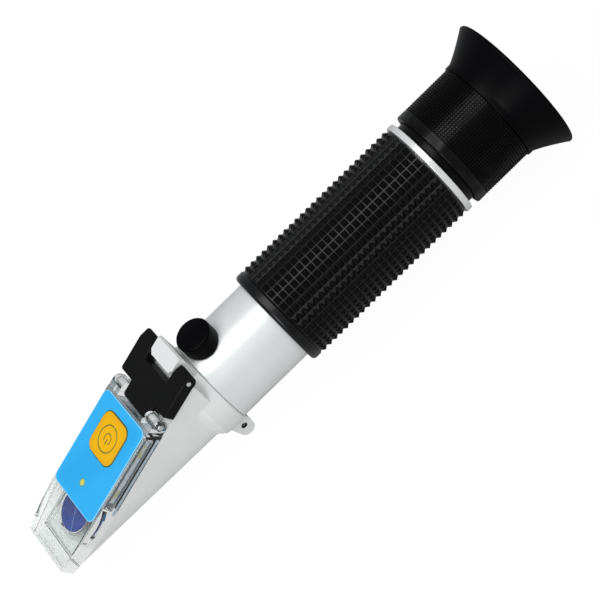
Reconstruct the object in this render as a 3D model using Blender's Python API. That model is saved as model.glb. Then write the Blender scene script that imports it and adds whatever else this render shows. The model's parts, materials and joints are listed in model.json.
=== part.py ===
"""A handheld sugar refractometer with a lit, hinged cover plate.

The instrument is a barrel along X. The sloping glass prism is at the -X end under a clear cover plate, and
the eyecup is at the +X end. Lengths are in metres and angles in degrees. The optical axis is the X axis of
an empty that carries everything, and its zero is the joint between the prism housing and the barrel.
"""
import math

import bmesh
import bpy
import numpy as np
from mathutils import Matrix, Vector

# Fits between pieces
FIT_GAP = 0.0003
FILM_GAP = 0.0002
CUT_OVERRUN = 0.002
ROOT_OVERLAP = 0.001

# Roundness of turned pieces, as numbers of sides
LARGE_SIDES = 40
INNER_SIDES = 20
SMALL_SIDES = 16

# Hinge pins that the casting, the hinge link and the cover plate share
HINGE_SPAN = 0.0135
HINGE_PIN_RADIUS = 0.00065
UPPER_PIN_SETBACK = 0.0033
UPPER_PIN_HEIGHT = 0.0166
PIN_RISE = 0.0023

# Prism housing
HOUSING_LENGTH = 0.0585
HOUSING_RADIUS = 0.0107
HOUSING_NOSE_RADIUS = 0.0102
HOUSING_NOSE_HEIGHT = 0.0037
HOUSING_NOSE_ROUND = 0.0016
FLANGE_RADIUS = 0.0123
FLANGE_THICKNESS = 0.0060
FLANGE_CHAMFER = 0.0003
SPIGOT_LENGTH = 0.0040
LIGHT_BORE_RADIUS = 0.0060
HINGE_LUG_WIDTH = 0.0106
HINGE_LUG_FRONT = 0.0016
HINGE_LUG_SETBACK = 0.0003
HINGE_LUG_CHAMFER = 0.0011
HINGE_LUG_REAR_CHAMFER = 0.0006
STRAP_LUG_REACH = 0.0220
STRAP_LUG_THICKNESS = 0.0045
STRAP_LUG_TIP_RADIUS = 0.0022
STRAP_LUG_ROOT_LENGTH = 0.0068
STRAP_LUG_SETBACK = 0.0002
EYELET_RADIUS = 0.0009
EYELET_FROM_TIP = 0.0038

# Measuring prism and its seal
PRISM_SIDE_WALL = 0.0004
PRISM_FACE_LENGTH = 0.0295
PRISM_NOSE_MARGIN = 0.0048
PRISM_FRONT_DEPTH = 0.0007
PRISM_EDGE_BEVEL = 0.0001
GASKET_THICKNESS = 0.0004
GASKET_DEPTH = 0.00035
GASKET_SINK = 0.0001
GASKET_GAP = 0.0002

# Barrel, grip and collar
TUBE_RADIUS = 0.01205
TUBE_WALL = 0.0018
TUBE_SHOWN_LENGTH = 0.0218
GRIP_RADIUS = 0.0144
GRIP_TEXTURE_DEPTH = 0.0006
GRIP_LIP_LENGTH = 0.0031
GRIP_LIP_RADIUS = 0.0142
GRIP_END_BAND = 0.0003
GRIP_TEXTURE_LENGTH = 0.0496
GRIP_ROWS = 26
GRIP_COLUMNS = 40
COLLAR_RADIUS = 0.01445
COLLAR_WIDTH = 0.0017
COLLAR_BEVEL = 0.0002

# Calibration screw and its cap
CALIBRATION_STATION = 0.0054
BUSH_RADIUS = 0.0036
BUSH_SHANK_RADIUS = 0.0026
BUSH_HEIGHT = 0.0014
SCREW_RADIUS = 0.0014
SCREW_HEAD_RADIUS = 0.0022
SCREW_HEAD_HEIGHT = 0.0012
SCREW_SLOT_WIDTH = 0.0006
SCREW_SLOT_DEPTH = 0.0006
CAP_RADIUS = 0.00475
CAP_HEAD_ROOM = 0.00095
CAP_DOME = 0.0004
CAP_EDGE_ROUND = 0.0006
CAP_ROOF = 0.0010

# Objective, temperature strip and scale glass
OBJECTIVE_CELL_LENGTH = 0.0065
OBJECTIVE_RADIUS = 0.0065
OBJECTIVE_THICKNESS = 0.0032
LENS_EDGE = 0.0012
LENS_SHOULDER = 0.0012
SCREW_SEAT_DEPTH = 0.0011
STRIP_LENGTH = 0.0220
STRIP_WIDTH = 0.0040
STRIP_THICKNESS = 0.0006
STRIP_BOW = 0.0005
STRIP_HEIGHT = 0.0078
CLAMP_LENGTH = 0.0050
CLAMP_WIDTH = 0.0060
CLAMP_STOP_LENGTH = 0.0010
RETICLE_STATION = 0.0500
RETICLE_HOLDER_LENGTH = 0.0045
RETICLE_RADIUS = 0.0077
RETICLE_THICKNESS = 0.0010

# Neck, lens carriage, focus ring and eyecup
NECK_RADIUS = 0.0128
NECK_SHOWN_LENGTH = 0.0018
NECK_THREAD_LENGTH = 0.0110
NECK_SPIGOT_LENGTH = 0.0140
NECK_BORE_RADIUS = 0.0086
CARRIAGE_WALL = 0.0013
CARRIAGE_FLANGE_THICKNESS = 0.0012
CARRIAGE_TAIL = 0.0016
FOCUS_TRAVEL_SPACE = 0.0026
FIELD_LENS_THICKNESS = 0.0026
EYE_LENS_THICKNESS = 0.0030
RETAINING_RING_WIDTH = 0.0008
RETAINING_RING_WALL = 0.0010
FOCUS_RING_RADIUS = 0.0146
FOCUS_RING_LENGTH = 0.0183
FOCUS_RING_WALL = 0.00115
FOCUS_RING_WEB = 0.0015
FOCUS_SMOOTH_BAND = 0.0028
FOCUS_REAR_BAND = 0.0012
FOCUS_KNURL_DEPTH = 0.00035
FOCUS_RIBS = 40
FOCUS_EDGE_ROUND = 0.0003
EYECUP_FOOT_RADIUS = 0.0150
EYECUP_FLARE_LENGTH = 0.0092
EYECUP_FLARE_POWER = 1.15
EYECUP_RIM_RADIUS = 0.0198
EYECUP_RIM_WIDTH = 0.0012
EYECUP_RIM_HEIGHT = 0.0007
EYECUP_FLOOR = 0.0009
EYECUP_FLOOR_HOLE = 0.0089
EYECUP_WALL = 0.0017

# Hinge link
LINK_WIDTH = 0.0228
LINK_OVER_PIN = 0.00145
LINK_UNDER_PIN = 0.00175
LINK_TOP_BREAK = 0.0006
LINK_NOTCH_DEPTH = 0.0038
LINK_CORNER_RADIUS = 0.0006
LINK_SHOULDER_FROM_PIN = 0.0031
LINK_TONGUE_WIDTH = 0.0116
LINK_TONGUE_RADIUS = 0.0016
LINK_EDGE_BEVEL = 0.0002

# Cover plate
LID_HALF_WIDTH = 0.0108
LID_THICKNESS = 0.0047
LID_FRONT_MARGIN = 0.0007
LID_REAR_GAP = 0.0019
LID_FRONT_BEVEL = 0.0006
KNUCKLE_RADIUS = 0.0019
KNUCKLE_TOP = 0.0026
KNUCKLE_CORNER_RADIUS = 0.0015
KNUCKLE_INSET = 0.0001
BAY_REAR_WALL = 0.0023
BAY_LENGTH = 0.0220
BAY_SIDE_WALL = 0.0018
BAY_FLOOR = 0.0008
BAY_CORNER_RADIUS = 0.0010

# What the cover plate holds
LABEL_LENGTH = 0.0278
LABEL_WIDTH = 0.0206
LABEL_THICKNESS = 0.0003
LABEL_CORNER_RADIUS = 0.0020
LABEL_REAR_MARGIN = 0.0005
BUTTON_LENGTH = 0.0115
BUTTON_WIDTH = 0.0114
BUTTON_CORNER_RADIUS = 0.0027
BUTTON_FROM_PIN = 0.0112
BUTTON_PROUD = 0.0002
BUTTON_FLANGE = 0.0007
BUTTON_FLANGE_THICKNESS = 0.0003
BUTTON_TRAVEL = 0.0003
INDICATOR_RADIUS = 0.0008
INDICATOR_FROM_PIN = 0.0246
INDICATOR_LENGTH = 0.0010
INDICATOR_PROUD = 0.00005
FILTER_RADIUS = 0.0056
FILTER_THICKNESS = 0.0004
FILTER_FROM_FRONT = 0.0131
TRAY_THICKNESS = 0.0015
TRAY_FLOOR = 0.0003
TRAY_RIB = 0.0008
CELL_RADIUS = 0.0047
CELL_THICKNESS = 0.0010
CELL_EDGE_ROUND = 0.00025
BOARD_THICKNESS = 0.0005
DOME_RADIUS = 0.0030
DOME_HEIGHT = 0.00035
LED_LENGTH = 0.0014
LED_WIDTH = 0.0020
LED_HEIGHT = 0.0007
LED_PITCH = 0.0045
LED_COUNT = 3

# Places worked out from the sizes above. Stations are distances along X from the joint between the prism
# housing and the barrel, and heights are measured from the optical axis. The slope that the prism face, the
# cover plate and the hinge link share runs from under the upper pin to the top of the casting's nose.
nose_run = HOUSING_LENGTH - UPPER_PIN_SETBACK
nose_drop = UPPER_PIN_HEIGHT + HOUSING_NOSE_RADIUS - HOUSING_NOSE_HEIGHT
slope = math.atan2(nose_drop, nose_run) - math.asin(PIN_RISE / math.hypot(nose_run, nose_drop))
tube_bore_radius = TUBE_RADIUS - TUBE_WALL
tube_start = FIT_GAP
grip_start = tube_start + TUBE_SHOWN_LENGTH
grip_end = grip_start + GRIP_LIP_LENGTH + GRIP_TEXTURE_LENGTH + GRIP_END_BAND
collar_start = grip_end + FIT_GAP
tube_end = collar_start + COLLAR_WIDTH
neck_start = tube_end + FIT_GAP
focus_start = neck_start + NECK_SHOWN_LENGTH
neck_end = focus_start + NECK_THREAD_LENGTH
focus_web_start = neck_end + FOCUS_TRAVEL_SPACE
focus_web_end = focus_web_start + FOCUS_RING_WEB
focus_end = focus_start + FOCUS_RING_LENGTH
carriage_flange_start = focus_web_end + FIT_GAP
carriage_flange_end = carriage_flange_start + CARRIAGE_FLANGE_THICKNESS
eyecup_start = focus_end + FIT_GAP
rim_station = eyecup_start + EYECUP_FLARE_LENGTH
insert_radius = tube_bore_radius - FIT_GAP
cell_start = CALIBRATION_STATION - OBJECTIVE_CELL_LENGTH / 2
cell_end = CALIBRATION_STATION + OBJECTIVE_CELL_LENGTH / 2
spigot_end = min(SPIGOT_LENGTH, cell_start - FIT_GAP)


def slope_point(along, above):
    """X and Z of a point given along the slope and square to it, both from the upper hinge pin."""
    x = -UPPER_PIN_SETBACK + along * math.cos(slope) - above * math.sin(slope)
    z = UPPER_PIN_HEIGHT + along * math.sin(slope) + above * math.cos(slope)
    return x, z


lower_pin_x, lower_pin_z = slope_point(-HINGE_SPAN, 0)
face_length = (HOUSING_LENGTH + lower_pin_x + PIN_RISE * math.sin(slope)) / math.cos(slope)
prism_front = PRISM_NOSE_MARGIN - face_length
lid_length = face_length - LID_FRONT_MARGIN
lid_front_x = slope_point(-HINGE_SPAN - lid_length, -PIN_RISE + FIT_GAP + LID_THICKNESS - LID_FRONT_BEVEL)[0]
front_station = min(lid_front_x, -HOUSING_LENGTH)
axis_height = max(STRAP_LUG_REACH, EYECUP_RIM_RADIUS)
axis_start = (0 - (front_station + rim_station) / 2, 0, axis_height)


def face_height(along):
    """Height of the prism face over the optical axis, at a distance along the slope from the lower pin."""
    return lower_pin_z + along * math.sin(slope) - PIN_RISE * math.cos(slope)


def face_height_at(x):
    """Height of the prism face over the optical axis, at a station along the optical axis."""
    return UPPER_PIN_HEIGHT + (x + UPPER_PIN_SETBACK) * math.tan(slope) - PIN_RISE / math.cos(slope)


def clear_scene():
    for old in list(bpy.data.objects):
        bpy.data.objects.remove(old, do_unlink=True)


def finish(name, colour, roughness, metallic=0.0, transmission=0.0):
    material = bpy.data.materials.new(name)
    material.use_nodes = True
    shader = material.node_tree.nodes["Principled BSDF"]
    shader.inputs["Base Color"].default_value = (*colour, 1.0)
    shader.inputs["Roughness"].default_value = roughness
    shader.inputs["Metallic"].default_value = metallic
    shader.inputs["Transmission Weight"].default_value = transmission
    return material


def pivot(name, location, parent=None, turn=0.0):
    """An empty that carries pieces; turn is about Y, with the +X side rising."""
    empty = bpy.data.objects.new(name, None)
    bpy.context.collection.objects.link(empty)
    empty.parent = parent
    empty.location = location
    empty.rotation_euler = (0, -turn, 0)
    return empty


def piece(name, shape, parent, material=None, location=(0, 0, 0)):
    """Puts a bmesh into the scene as a named object, shaded smooth but for its real edges."""
    mesh = bpy.data.meshes.new(name)
    bmesh.ops.recalc_face_normals(shape, faces=shape.faces)
    shape.to_mesh(mesh)
    shape.free()
    mesh.shade_smooth()
    mesh.set_sharp_from_angle(angle=math.radians(32))
    thing = bpy.data.objects.new(name, mesh)
    bpy.context.collection.objects.link(thing)
    thing.parent = parent
    thing.location = location
    if material:
        mesh.materials.append(material)
    return thing


def combine(target, tool, operation):
    """Cuts a tool from a piece, or joins it to the piece, and keeps the tool as a wire guide."""
    tool.hide_render = True
    tool.display_type = "WIRE"
    step = target.modifiers.new(tool.name, "BOOLEAN")
    step.operation = operation
    step.solver = "EXACT"
    step.object = tool


def cut(target, tool):
    combine(target, tool, "DIFFERENCE")


def join(target, tool):
    combine(target, tool, "UNION")


def turned(profile, sides, axis="X"):
    """Spins a profile of (along, radius) points round X, or round Z, into one closed body.

    A profile that starts and ends on the axis makes a solid, and any other is closed into a ring.
    """
    shape = bmesh.new()
    if axis == "X":
        points = [shape.verts.new((along, 0, radius)) for along, radius in profile]
    else:
        points = [shape.verts.new((radius, 0, along)) for along, radius in profile]
    edges = [shape.edges.new(pair) for pair in zip(points, points[1:])]
    if profile[0][1] or profile[-1][1]:
        edges.append(shape.edges.new((points[-1], points[0])))
    direction = (1, 0, 0) if axis == "X" else (0, 0, 1)
    bmesh.ops.spin(shape, geom=points + edges, cent=(0, 0, 0), axis=direction, angle=math.tau, steps=sides,
                   use_merge=True)
    bmesh.ops.remove_doubles(shape, verts=shape.verts, dist=FIT_GAP / 1000)
    return shape


def extruded(outline, start, end, axis):
    """Fills an outline and extrudes it along Y (outline in X, Z) or along Z (outline in X, Y)."""
    shape = bmesh.new()
    if axis == "Y":
        ring = [shape.verts.new((a, start, b)) for a, b in outline]
        travel = Vector((0, end - start, 0))
    else:
        ring = [shape.verts.new((a, b, start)) for a, b in outline]
        travel = Vector((0, 0, end - start))
    face = shape.faces.new(ring)
    moved = bmesh.ops.extrude_face_region(shape, geom=[face])["geom"]
    bmesh.ops.translate(shape, verts=[v for v in moved if isinstance(v, bmesh.types.BMVert)], vec=travel)
    return shape


def arc(centre, radius, first, last, steps):
    """Points of an arc, from one angle to another in degrees, both ends included."""
    angles = np.radians(np.linspace(first, last, steps + 1))
    return [(centre[0] + radius * math.cos(a), centre[1] + radius * math.sin(a)) for a in angles]


def rounded_rectangle(centre, length, width, radius, steps=4):
    """An outline with round corners, length along the first direction."""
    points = []
    for quarter, (sx, sy) in enumerate(((1, 1), (-1, 1), (-1, -1), (1, -1))):
        corner = (centre[0] + sx * (length / 2 - radius), centre[1] + sy * (width / 2 - radius))
        points += arc(corner, radius, 90 * quarter, 90 * quarter + 90, steps)
    return points


def cylinder(radius, start, end, sides, axis="X"):
    return turned([(start, 0), (start, radius), (end, radius), (end, 0)], sides, axis)


def cross_pin(radius, half_length, bevel, sides=SMALL_SIDES):
    """A pin along Y with small chamfers at its ends."""
    shape = turned([(-half_length, 0), (-half_length, radius - bevel), (bevel - half_length, radius),
                    (half_length - bevel, radius), (half_length, radius - bevel), (half_length, 0)], sides)
    bmesh.ops.rotate(shape, verts=shape.verts, cent=(0, 0, 0), matrix=Matrix.Rotation(math.pi / 2, 3, "Z"))
    return shape


def lens_profile(radius, thickness, edge, steps=2):
    """Half section of a lens centred on its own middle, with the same parabolic bulge on both faces."""
    bulge = (thickness - edge) / 2
    front = [(bulge * (step / steps) ** 2 - thickness / 2, radius * step / steps)
             for step in range(steps + 1)]
    return front + [(-along, height) for along, height in reversed(front)]


def lens_seat(radius, thickness, edge, shoulder):
    """Distance from a lens's middle to where its face meets a shoulder of the given radius, with its gap."""
    bulge = (thickness - edge) / 2
    return thickness / 2 - bulge * (shoulder / radius) ** 2 + FIT_GAP


def make_finishes():
    return {
        "cast silver": finish("cast silver", (0.66, 0.67, 0.66), 0.42, 0.55),
        "tube silver": finish("tube silver", (0.70, 0.71, 0.70), 0.35, 0.60),
        "collar silver": finish("collar silver", (0.75, 0.75, 0.74), 0.25, 0.90),
        "steel": finish("steel", (0.60, 0.60, 0.60), 0.25, 1.0),
        "brass": finish("brass", (0.62, 0.45, 0.18), 0.35, 1.0),
        "black rubber": finish("black rubber", (0.012, 0.012, 0.012), 0.60),
        "black plastic": finish("black plastic", (0.010, 0.010, 0.011), 0.38),
        "black paint": finish("black paint", (0.009, 0.009, 0.009), 0.45),
        "optical glass": finish("optical glass", (0.93, 0.96, 0.97), 0.03, 0.0, 1.0),
        "clear plastic": finish("clear plastic", (0.90, 0.94, 0.95), 0.05, 0.0, 1.0),
        "blue film": finish("blue film", (0.04, 0.46, 0.98), 0.40),
        "blue glass": finish("blue glass", (0.04, 0.10, 0.34), 0.15),
        "orange key": finish("orange key", (0.86, 0.43, 0.01), 0.42),
        "amber lens": finish("amber lens", (0.80, 0.75, 0.30), 0.25),
        "green board": finish("green board", (0.01, 0.05, 0.03), 0.50),
        "white lamp": finish("white lamp", (0.90, 0.88, 0.70), 0.30),
    }


def loft(sections):
    """Skins sections of (x, outline in Y, Z), all with the same number of points, into a closed body."""
    shape = bmesh.new()
    rings = [[shape.verts.new((x, y, z)) for y, z in outline] for x, outline in sections]
    for ring, following in zip(rings, rings[1:]):
        for i in range(len(ring)):
            j = (i + 1) % len(ring)
            shape.faces.new((ring[i], ring[j], following[j], following[i]))
    shape.faces.new(rings[0])
    shape.faces.new(rings[-1])
    return shape


def trough(axis, material):
    """The housing's body in one loft: a round nose, then a U-shaped section that widens to the flange."""
    rear = -FLANGE_THICKNESS / 2
    wall_top = face_height_at(rear)
    rounding = HOUSING_NOSE_ROUND
    stations = [(rounding * (1 - math.cos(turn)) - HOUSING_LENGTH,
                 HOUSING_NOSE_RADIUS - rounding * (1 - math.sin(turn)))
                for turn in np.linspace(0, math.pi / 2, 4)]
    stations.append((rear, HOUSING_RADIUS))
    half_round = LARGE_SIDES // 2
    sections = [(x, arc((0, 0), radius, 0, -180, half_round) + [(-radius, wall_top), (radius, wall_top)])
                for x, radius in stations]
    return piece("prism_housing", loft(sections), axis, material)


def housing(axis, finishes):
    """Prism housing: the sloping trough, flange, spigot, hinge lug and strap lug, as one casting."""
    body = trough(axis, finishes["cast silver"])
    seat = pivot("prism_seat", (lower_pin_x, 0, lower_pin_z), axis, slope)
    cut(body, piece("slope_cutter", extruded(rounded_rectangle(
        (-HOUSING_LENGTH / 2, 0), 4 * HOUSING_LENGTH, 4 * HOUSING_RADIUS, HOUSING_RADIUS, 1),
        -PIN_RISE, HOUSING_LENGTH, "Z"), seat))
    bevel = FLANGE_CHAMFER
    join(body, piece("flange_guide", turned([
        (-FLANGE_THICKNESS, 0), (-FLANGE_THICKNESS, FLANGE_RADIUS - bevel),
        (bevel - FLANGE_THICKNESS, FLANGE_RADIUS), (-bevel, FLANGE_RADIUS), (0, FLANGE_RADIUS - bevel),
        (0, insert_radius), (spigot_end, insert_radius), (spigot_end, 0)], LARGE_SIDES), axis))
    join(body, hinge_lug(axis))
    join(body, strap_lug(axis))
    cut(body, prism_pocket(axis))
    bore_start = prism_section(0)[1][0] - LIGHT_BORE_RADIUS / 2
    cut(body, piece("light_bore_cutter", cylinder(
        LIGHT_BORE_RADIUS, bore_start, spigot_end + CUT_OVERRUN, INNER_SIDES), axis))
    cut(body, piece("upper_pin_bore", cross_pin(
        HINGE_PIN_RADIUS + FIT_GAP, LINK_WIDTH, HINGE_PIN_RADIUS / 2), axis, None,
        (-UPPER_PIN_SETBACK, 0, UPPER_PIN_HEIGHT)))
    cut(body, piece("eyelet_cutter", cross_pin(
        EYELET_RADIUS, STRAP_LUG_THICKNESS, EYELET_RADIUS / 2), axis, None,
        (-STRAP_LUG_SETBACK - STRAP_LUG_TIP_RADIUS, 0, EYELET_FROM_TIP - STRAP_LUG_REACH)))
    return seat


def hinge_lug(axis):
    """The block on the flange that carries the upper pin, with its two front corners cut off."""
    front_top = slope_point(-HINGE_LUG_FRONT, LINK_OVER_PIN)
    front_foot = slope_point(-HINGE_LUG_FRONT, -PIN_RISE - ROOT_OVERLAP)
    rear = -HINGE_LUG_SETBACK
    edge = HINGE_LUG_REAR_CHAMFER
    rear_top = front_top[1] + (rear - edge - front_top[0]) * math.tan(slope)
    foot = FLANGE_RADIUS / 2
    outline = [front_top, front_foot, (front_foot[0], foot), (rear, foot), (rear, rear_top - edge),
               (rear - edge, rear_top)]
    shape = extruded(outline, -HINGE_LUG_WIDTH / 2, HINGE_LUG_WIDTH / 2, "Y")
    front = [edge for edge in shape.edges
             if all(min(math.dist((v.co.x, v.co.z), p) for p in (front_top, front_foot)) < FIT_GAP
                    for v in edge.verts) and abs(edge.verts[0].co.y - edge.verts[1].co.y) < FIT_GAP]
    bmesh.ops.bevel(shape, geom=front, offset=HINGE_LUG_CHAMFER, segments=1, affect="EDGES")
    return piece("hinge_lug_guide", shape, axis)


def strap_lug(axis):
    """The tapered ear under the flange: upright rear face, slanting front and a round tip."""
    rear = -STRAP_LUG_SETBACK
    centre = (rear - STRAP_LUG_TIP_RADIUS, STRAP_LUG_TIP_RADIUS - STRAP_LUG_REACH)
    root = -FLANGE_RADIUS / 2 - HOUSING_RADIUS / 4
    outline = [(rear, root)] + arc(centre, STRAP_LUG_TIP_RADIUS, 0, -170, 8)
    front = rear - STRAP_LUG_ROOT_LENGTH
    outline += [(front, -HOUSING_RADIUS + ROOT_OVERLAP), (front, root)]
    half = STRAP_LUG_THICKNESS / 2
    return piece("strap_lug_guide", extruded(outline, -half, half, "Y"), axis)


def prism_section(grow):
    """Side outline of the prism, in X and Z from the axis, widened by grow in every direction but up.

    The face lies on the slope, the foot is level, and the back is upright towards the barrel.
    """
    front_x = lower_pin_x + prism_front * math.cos(slope) + PIN_RISE * math.sin(slope)
    rear_x = front_x + PRISM_FACE_LENGTH * math.cos(slope)
    foot = face_height(prism_front) - PRISM_FRONT_DEPTH - grow
    rise = math.tan(slope) * grow
    return [(front_x - grow, foot), (rear_x + grow, foot), (rear_x + grow, face_height_at(rear_x) + rise),
            (front_x - grow, face_height(prism_front) - rise)]


def seal_room():
    """How far the pocket reaches past the glass on every side."""
    return GASKET_THICKNESS + 2 * GASKET_GAP


def pocket_foot():
    """Height of the pocket's floor, which is under the glass and under the lowest end of its seal."""
    glass_foot = prism_section(0)[0][1]
    seal_foot = prism_section(seal_room())[3][1] - (GASKET_SINK + GASKET_DEPTH) / math.cos(slope)
    return min(glass_foot, seal_foot) - FIT_GAP


def prism_half_width():
    """Half the width of glass for which the round front of the casting leaves room between its walls."""
    return math.sqrt((HOUSING_NOSE_RADIUS - PRISM_SIDE_WALL) ** 2 - pocket_foot() ** 2) - seal_room()


def prism_pocket(axis):
    """The pocket for the prism and its seal, open through the sloping face."""
    foot_front, foot_rear, top_rear, top_front = prism_section(seal_room())
    outline = [(foot_front[0], pocket_foot()), (foot_rear[0], pocket_foot()),
               (top_rear[0], top_rear[1] + CUT_OVERRUN), (top_front[0], top_front[1] + CUT_OVERRUN)]
    half = prism_half_width() + seal_room()
    return piece("pocket_cutter", extruded(outline, -half, half, "Y"), axis)


def prism_and_seal(axis, seat, finishes):
    """The glass wedge, and the thin seal that fills the edge of its pocket at the face."""
    half = prism_half_width()
    glass = piece("measuring_prism", extruded(prism_section(0), -half, half, "Y"), axis,
                  finishes["optical glass"])
    edge = glass.modifiers.new("ground edges", "BEVEL")
    edge.width = PRISM_EDGE_BEVEL
    edge.segments = 1
    edge.limit_method = "ANGLE"
    middle = (prism_front + PRISM_FACE_LENGTH / 2, 0)
    reach = GASKET_GAP + GASKET_THICKNESS
    top = -PIN_RISE - GASKET_SINK
    seal = piece("prism_gasket", extruded(rounded_rectangle(
        middle, PRISM_FACE_LENGTH + 2 * reach, 2 * (half + reach), GASKET_THICKNESS),
        top - GASKET_DEPTH, top, "Z"), seat, finishes["black rubber"])
    cut(seal, piece("gasket_cutter", extruded(
        prism_section(GASKET_GAP), -half - GASKET_GAP, half + GASKET_GAP, "Y"), axis))


def barrel(axis, finishes):
    """The silver barrel with the hole for the calibration bush through its upper wall."""
    bevel = FIT_GAP
    tube = piece("main_tube", turned([
        (tube_start, tube_bore_radius), (tube_start, TUBE_RADIUS - bevel), (tube_start + bevel, TUBE_RADIUS),
        (tube_end, TUBE_RADIUS), (tube_end, tube_bore_radius)], LARGE_SIDES), axis, finishes["tube silver"])
    cut(tube, piece("bush_hole_cutter", cylinder(
        BUSH_SHANK_RADIUS + FIT_GAP, tube_bore_radius - CUT_OVERRUN, TUBE_RADIUS + CUT_OVERRUN,
        SMALL_SIDES, "Z"), axis, None, (CALIBRATION_STATION, 0, 0)))


def grip(axis, finishes):
    """The rubber sleeve: a grid of small square pyramids between a round front lip and a plain end band.

    Each pyramid has its four corners in the valleys and its tip at the grip's full radius.
    """
    valley = GRIP_RADIUS - GRIP_TEXTURE_DEPTH
    bore = TUBE_RADIUS + FIT_GAP
    texture_start = grip_start + GRIP_LIP_LENGTH
    texture_end = texture_start + GRIP_TEXTURE_LENGTH
    lip_round = (GRIP_LIP_RADIUS - bore) / 2
    centre = (grip_start + lip_round, bore + lip_round)
    lip = arc(centre, lip_round, 180, 90, 2) + [(texture_start - GRIP_TEXTURE_DEPTH, GRIP_LIP_RADIUS)]
    shape = bmesh.new()

    def ring(x, radius):
        angles = math.tau * np.arange(GRIP_COLUMNS) / GRIP_COLUMNS
        return [shape.verts.new((x, radius * math.sin(a), radius * math.cos(a))) for a in angles]

    def skin(first, second):
        for i in range(GRIP_COLUMNS):
            j = (i + 1) % GRIP_COLUMNS
            shape.faces.new((first[i], first[j], second[j], second[i]))

    outside = [ring(grip_start + lip_round, bore)] + [ring(x, radius) for x, radius in lip]
    for first, second in zip(outside, outside[1:]):
        skin(first, second)
    pitch = GRIP_TEXTURE_LENGTH / GRIP_ROWS
    valleys = [ring(texture_start + row * pitch, valley) for row in range(GRIP_ROWS + 1)]
    skin(outside[-1], valleys[0])
    half_step = math.pi / GRIP_COLUMNS
    for row, (first, second) in enumerate(zip(valleys, valleys[1:])):
        x = texture_start + (row + 1 / 2) * pitch
        for i in range(GRIP_COLUMNS):
            j = (i + 1) % GRIP_COLUMNS
            a = math.tau * i / GRIP_COLUMNS + half_step
            tip = shape.verts.new((x, GRIP_RADIUS * math.sin(a), GRIP_RADIUS * math.cos(a)))
            corners = (first[i], first[j], second[j], second[i])
            for near, far in zip(corners, corners[1:] + corners[:1]):
                shape.faces.new((near, far, tip))
    end = ring(texture_end + GRIP_END_BAND, valley)
    inner_end = ring(texture_end + GRIP_END_BAND, bore)
    skin(valleys[-1], end)
    skin(end, inner_end)
    skin(inner_end, outside[0])
    sleeve = piece("rubber_grip", shape, axis, finishes["black rubber"])
    sleeve.data.set_sharp_from_angle(angle=math.radians(20))


def collar(axis, finishes):
    bore = TUBE_RADIUS + FIT_GAP
    bevel = COLLAR_BEVEL
    piece("collar_ring", turned([
        (collar_start, bore), (collar_start, COLLAR_RADIUS - bevel), (collar_start + bevel, COLLAR_RADIUS),
        (tube_end - bevel, COLLAR_RADIUS), (tube_end, COLLAR_RADIUS - bevel), (tube_end, bore)],
        LARGE_SIDES), axis, finishes["collar silver"])


def calibration(axis, finishes):
    """Bush in the barrel's wall, slotted screw in the bush, and the rubber cap over both."""
    place = (CALIBRATION_STATION, 0, 0)
    bush_foot = TUBE_RADIUS + FIT_GAP
    bush_top = bush_foot + BUSH_HEIGHT
    shank_foot = tube_bore_radius
    bore = SCREW_RADIUS + FIT_GAP
    piece("calibration_bush", turned([
        (shank_foot, bore), (shank_foot, BUSH_SHANK_RADIUS), (bush_foot, BUSH_SHANK_RADIUS),
        (bush_foot, BUSH_RADIUS), (bush_top, BUSH_RADIUS), (bush_top, bore)], SMALL_SIDES, "Z"),
        axis, finishes["brass"], place)
    head_foot = bush_top + FIT_GAP
    head_top = head_foot + SCREW_HEAD_HEIGHT
    tip = insert_radius - SCREW_SEAT_DEPTH + FIT_GAP
    screw = piece("calibration_screw", turned([
        (tip, 0), (tip, SCREW_RADIUS), (head_foot, SCREW_RADIUS), (head_foot, SCREW_HEAD_RADIUS),
        (head_top, SCREW_HEAD_RADIUS), (head_top, 0)], SMALL_SIDES, "Z"), axis, finishes["steel"], place)
    cut(screw, piece("slot_cutter", extruded(
        rounded_rectangle((0, 0), 4 * SCREW_HEAD_RADIUS, SCREW_SLOT_WIDTH, SCREW_SLOT_WIDTH / 4, 1),
        head_top - SCREW_SLOT_DEPTH, head_top + CUT_OVERRUN, "Z"), axis, None, place))
    cap(axis, finishes, place, head_top)


def cap(axis, finishes, place, head_top):
    """The cap's skirt is cut to the barrel's curve, so that it sits on the barrel all round."""
    roof = head_top + CAP_HEAD_ROOM
    top = roof + CAP_ROOF
    edge_height = top - CAP_DOME
    corner = (CAP_RADIUS - CAP_EDGE_ROUND, edge_height - CAP_EDGE_ROUND)
    dome = [(edge_height + CAP_DOME * (1 - share ** 2), corner[0] * share)
            for share in np.linspace(0, 1, 4)[:-1]]
    edge = [(z, r) for r, z in arc(corner, CAP_EDGE_ROUND, 90, 0, 3)]
    inside = max(BUSH_RADIUS, SCREW_HEAD_RADIUS) + FIT_GAP
    skirt = TUBE_RADIUS - TUBE_WALL
    rubber = piece("calibration_cap", turned(
        dome + edge + [(skirt, CAP_RADIUS), (skirt, inside), (roof, inside), (roof, 0)], INNER_SIDES, "Z"),
        axis, finishes["black rubber"], place)
    cut(rubber, piece("barrel_cutter", cylinder(
        TUBE_RADIUS + FIT_GAP, -top, top, LARGE_SIDES), axis, None, place))


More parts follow.
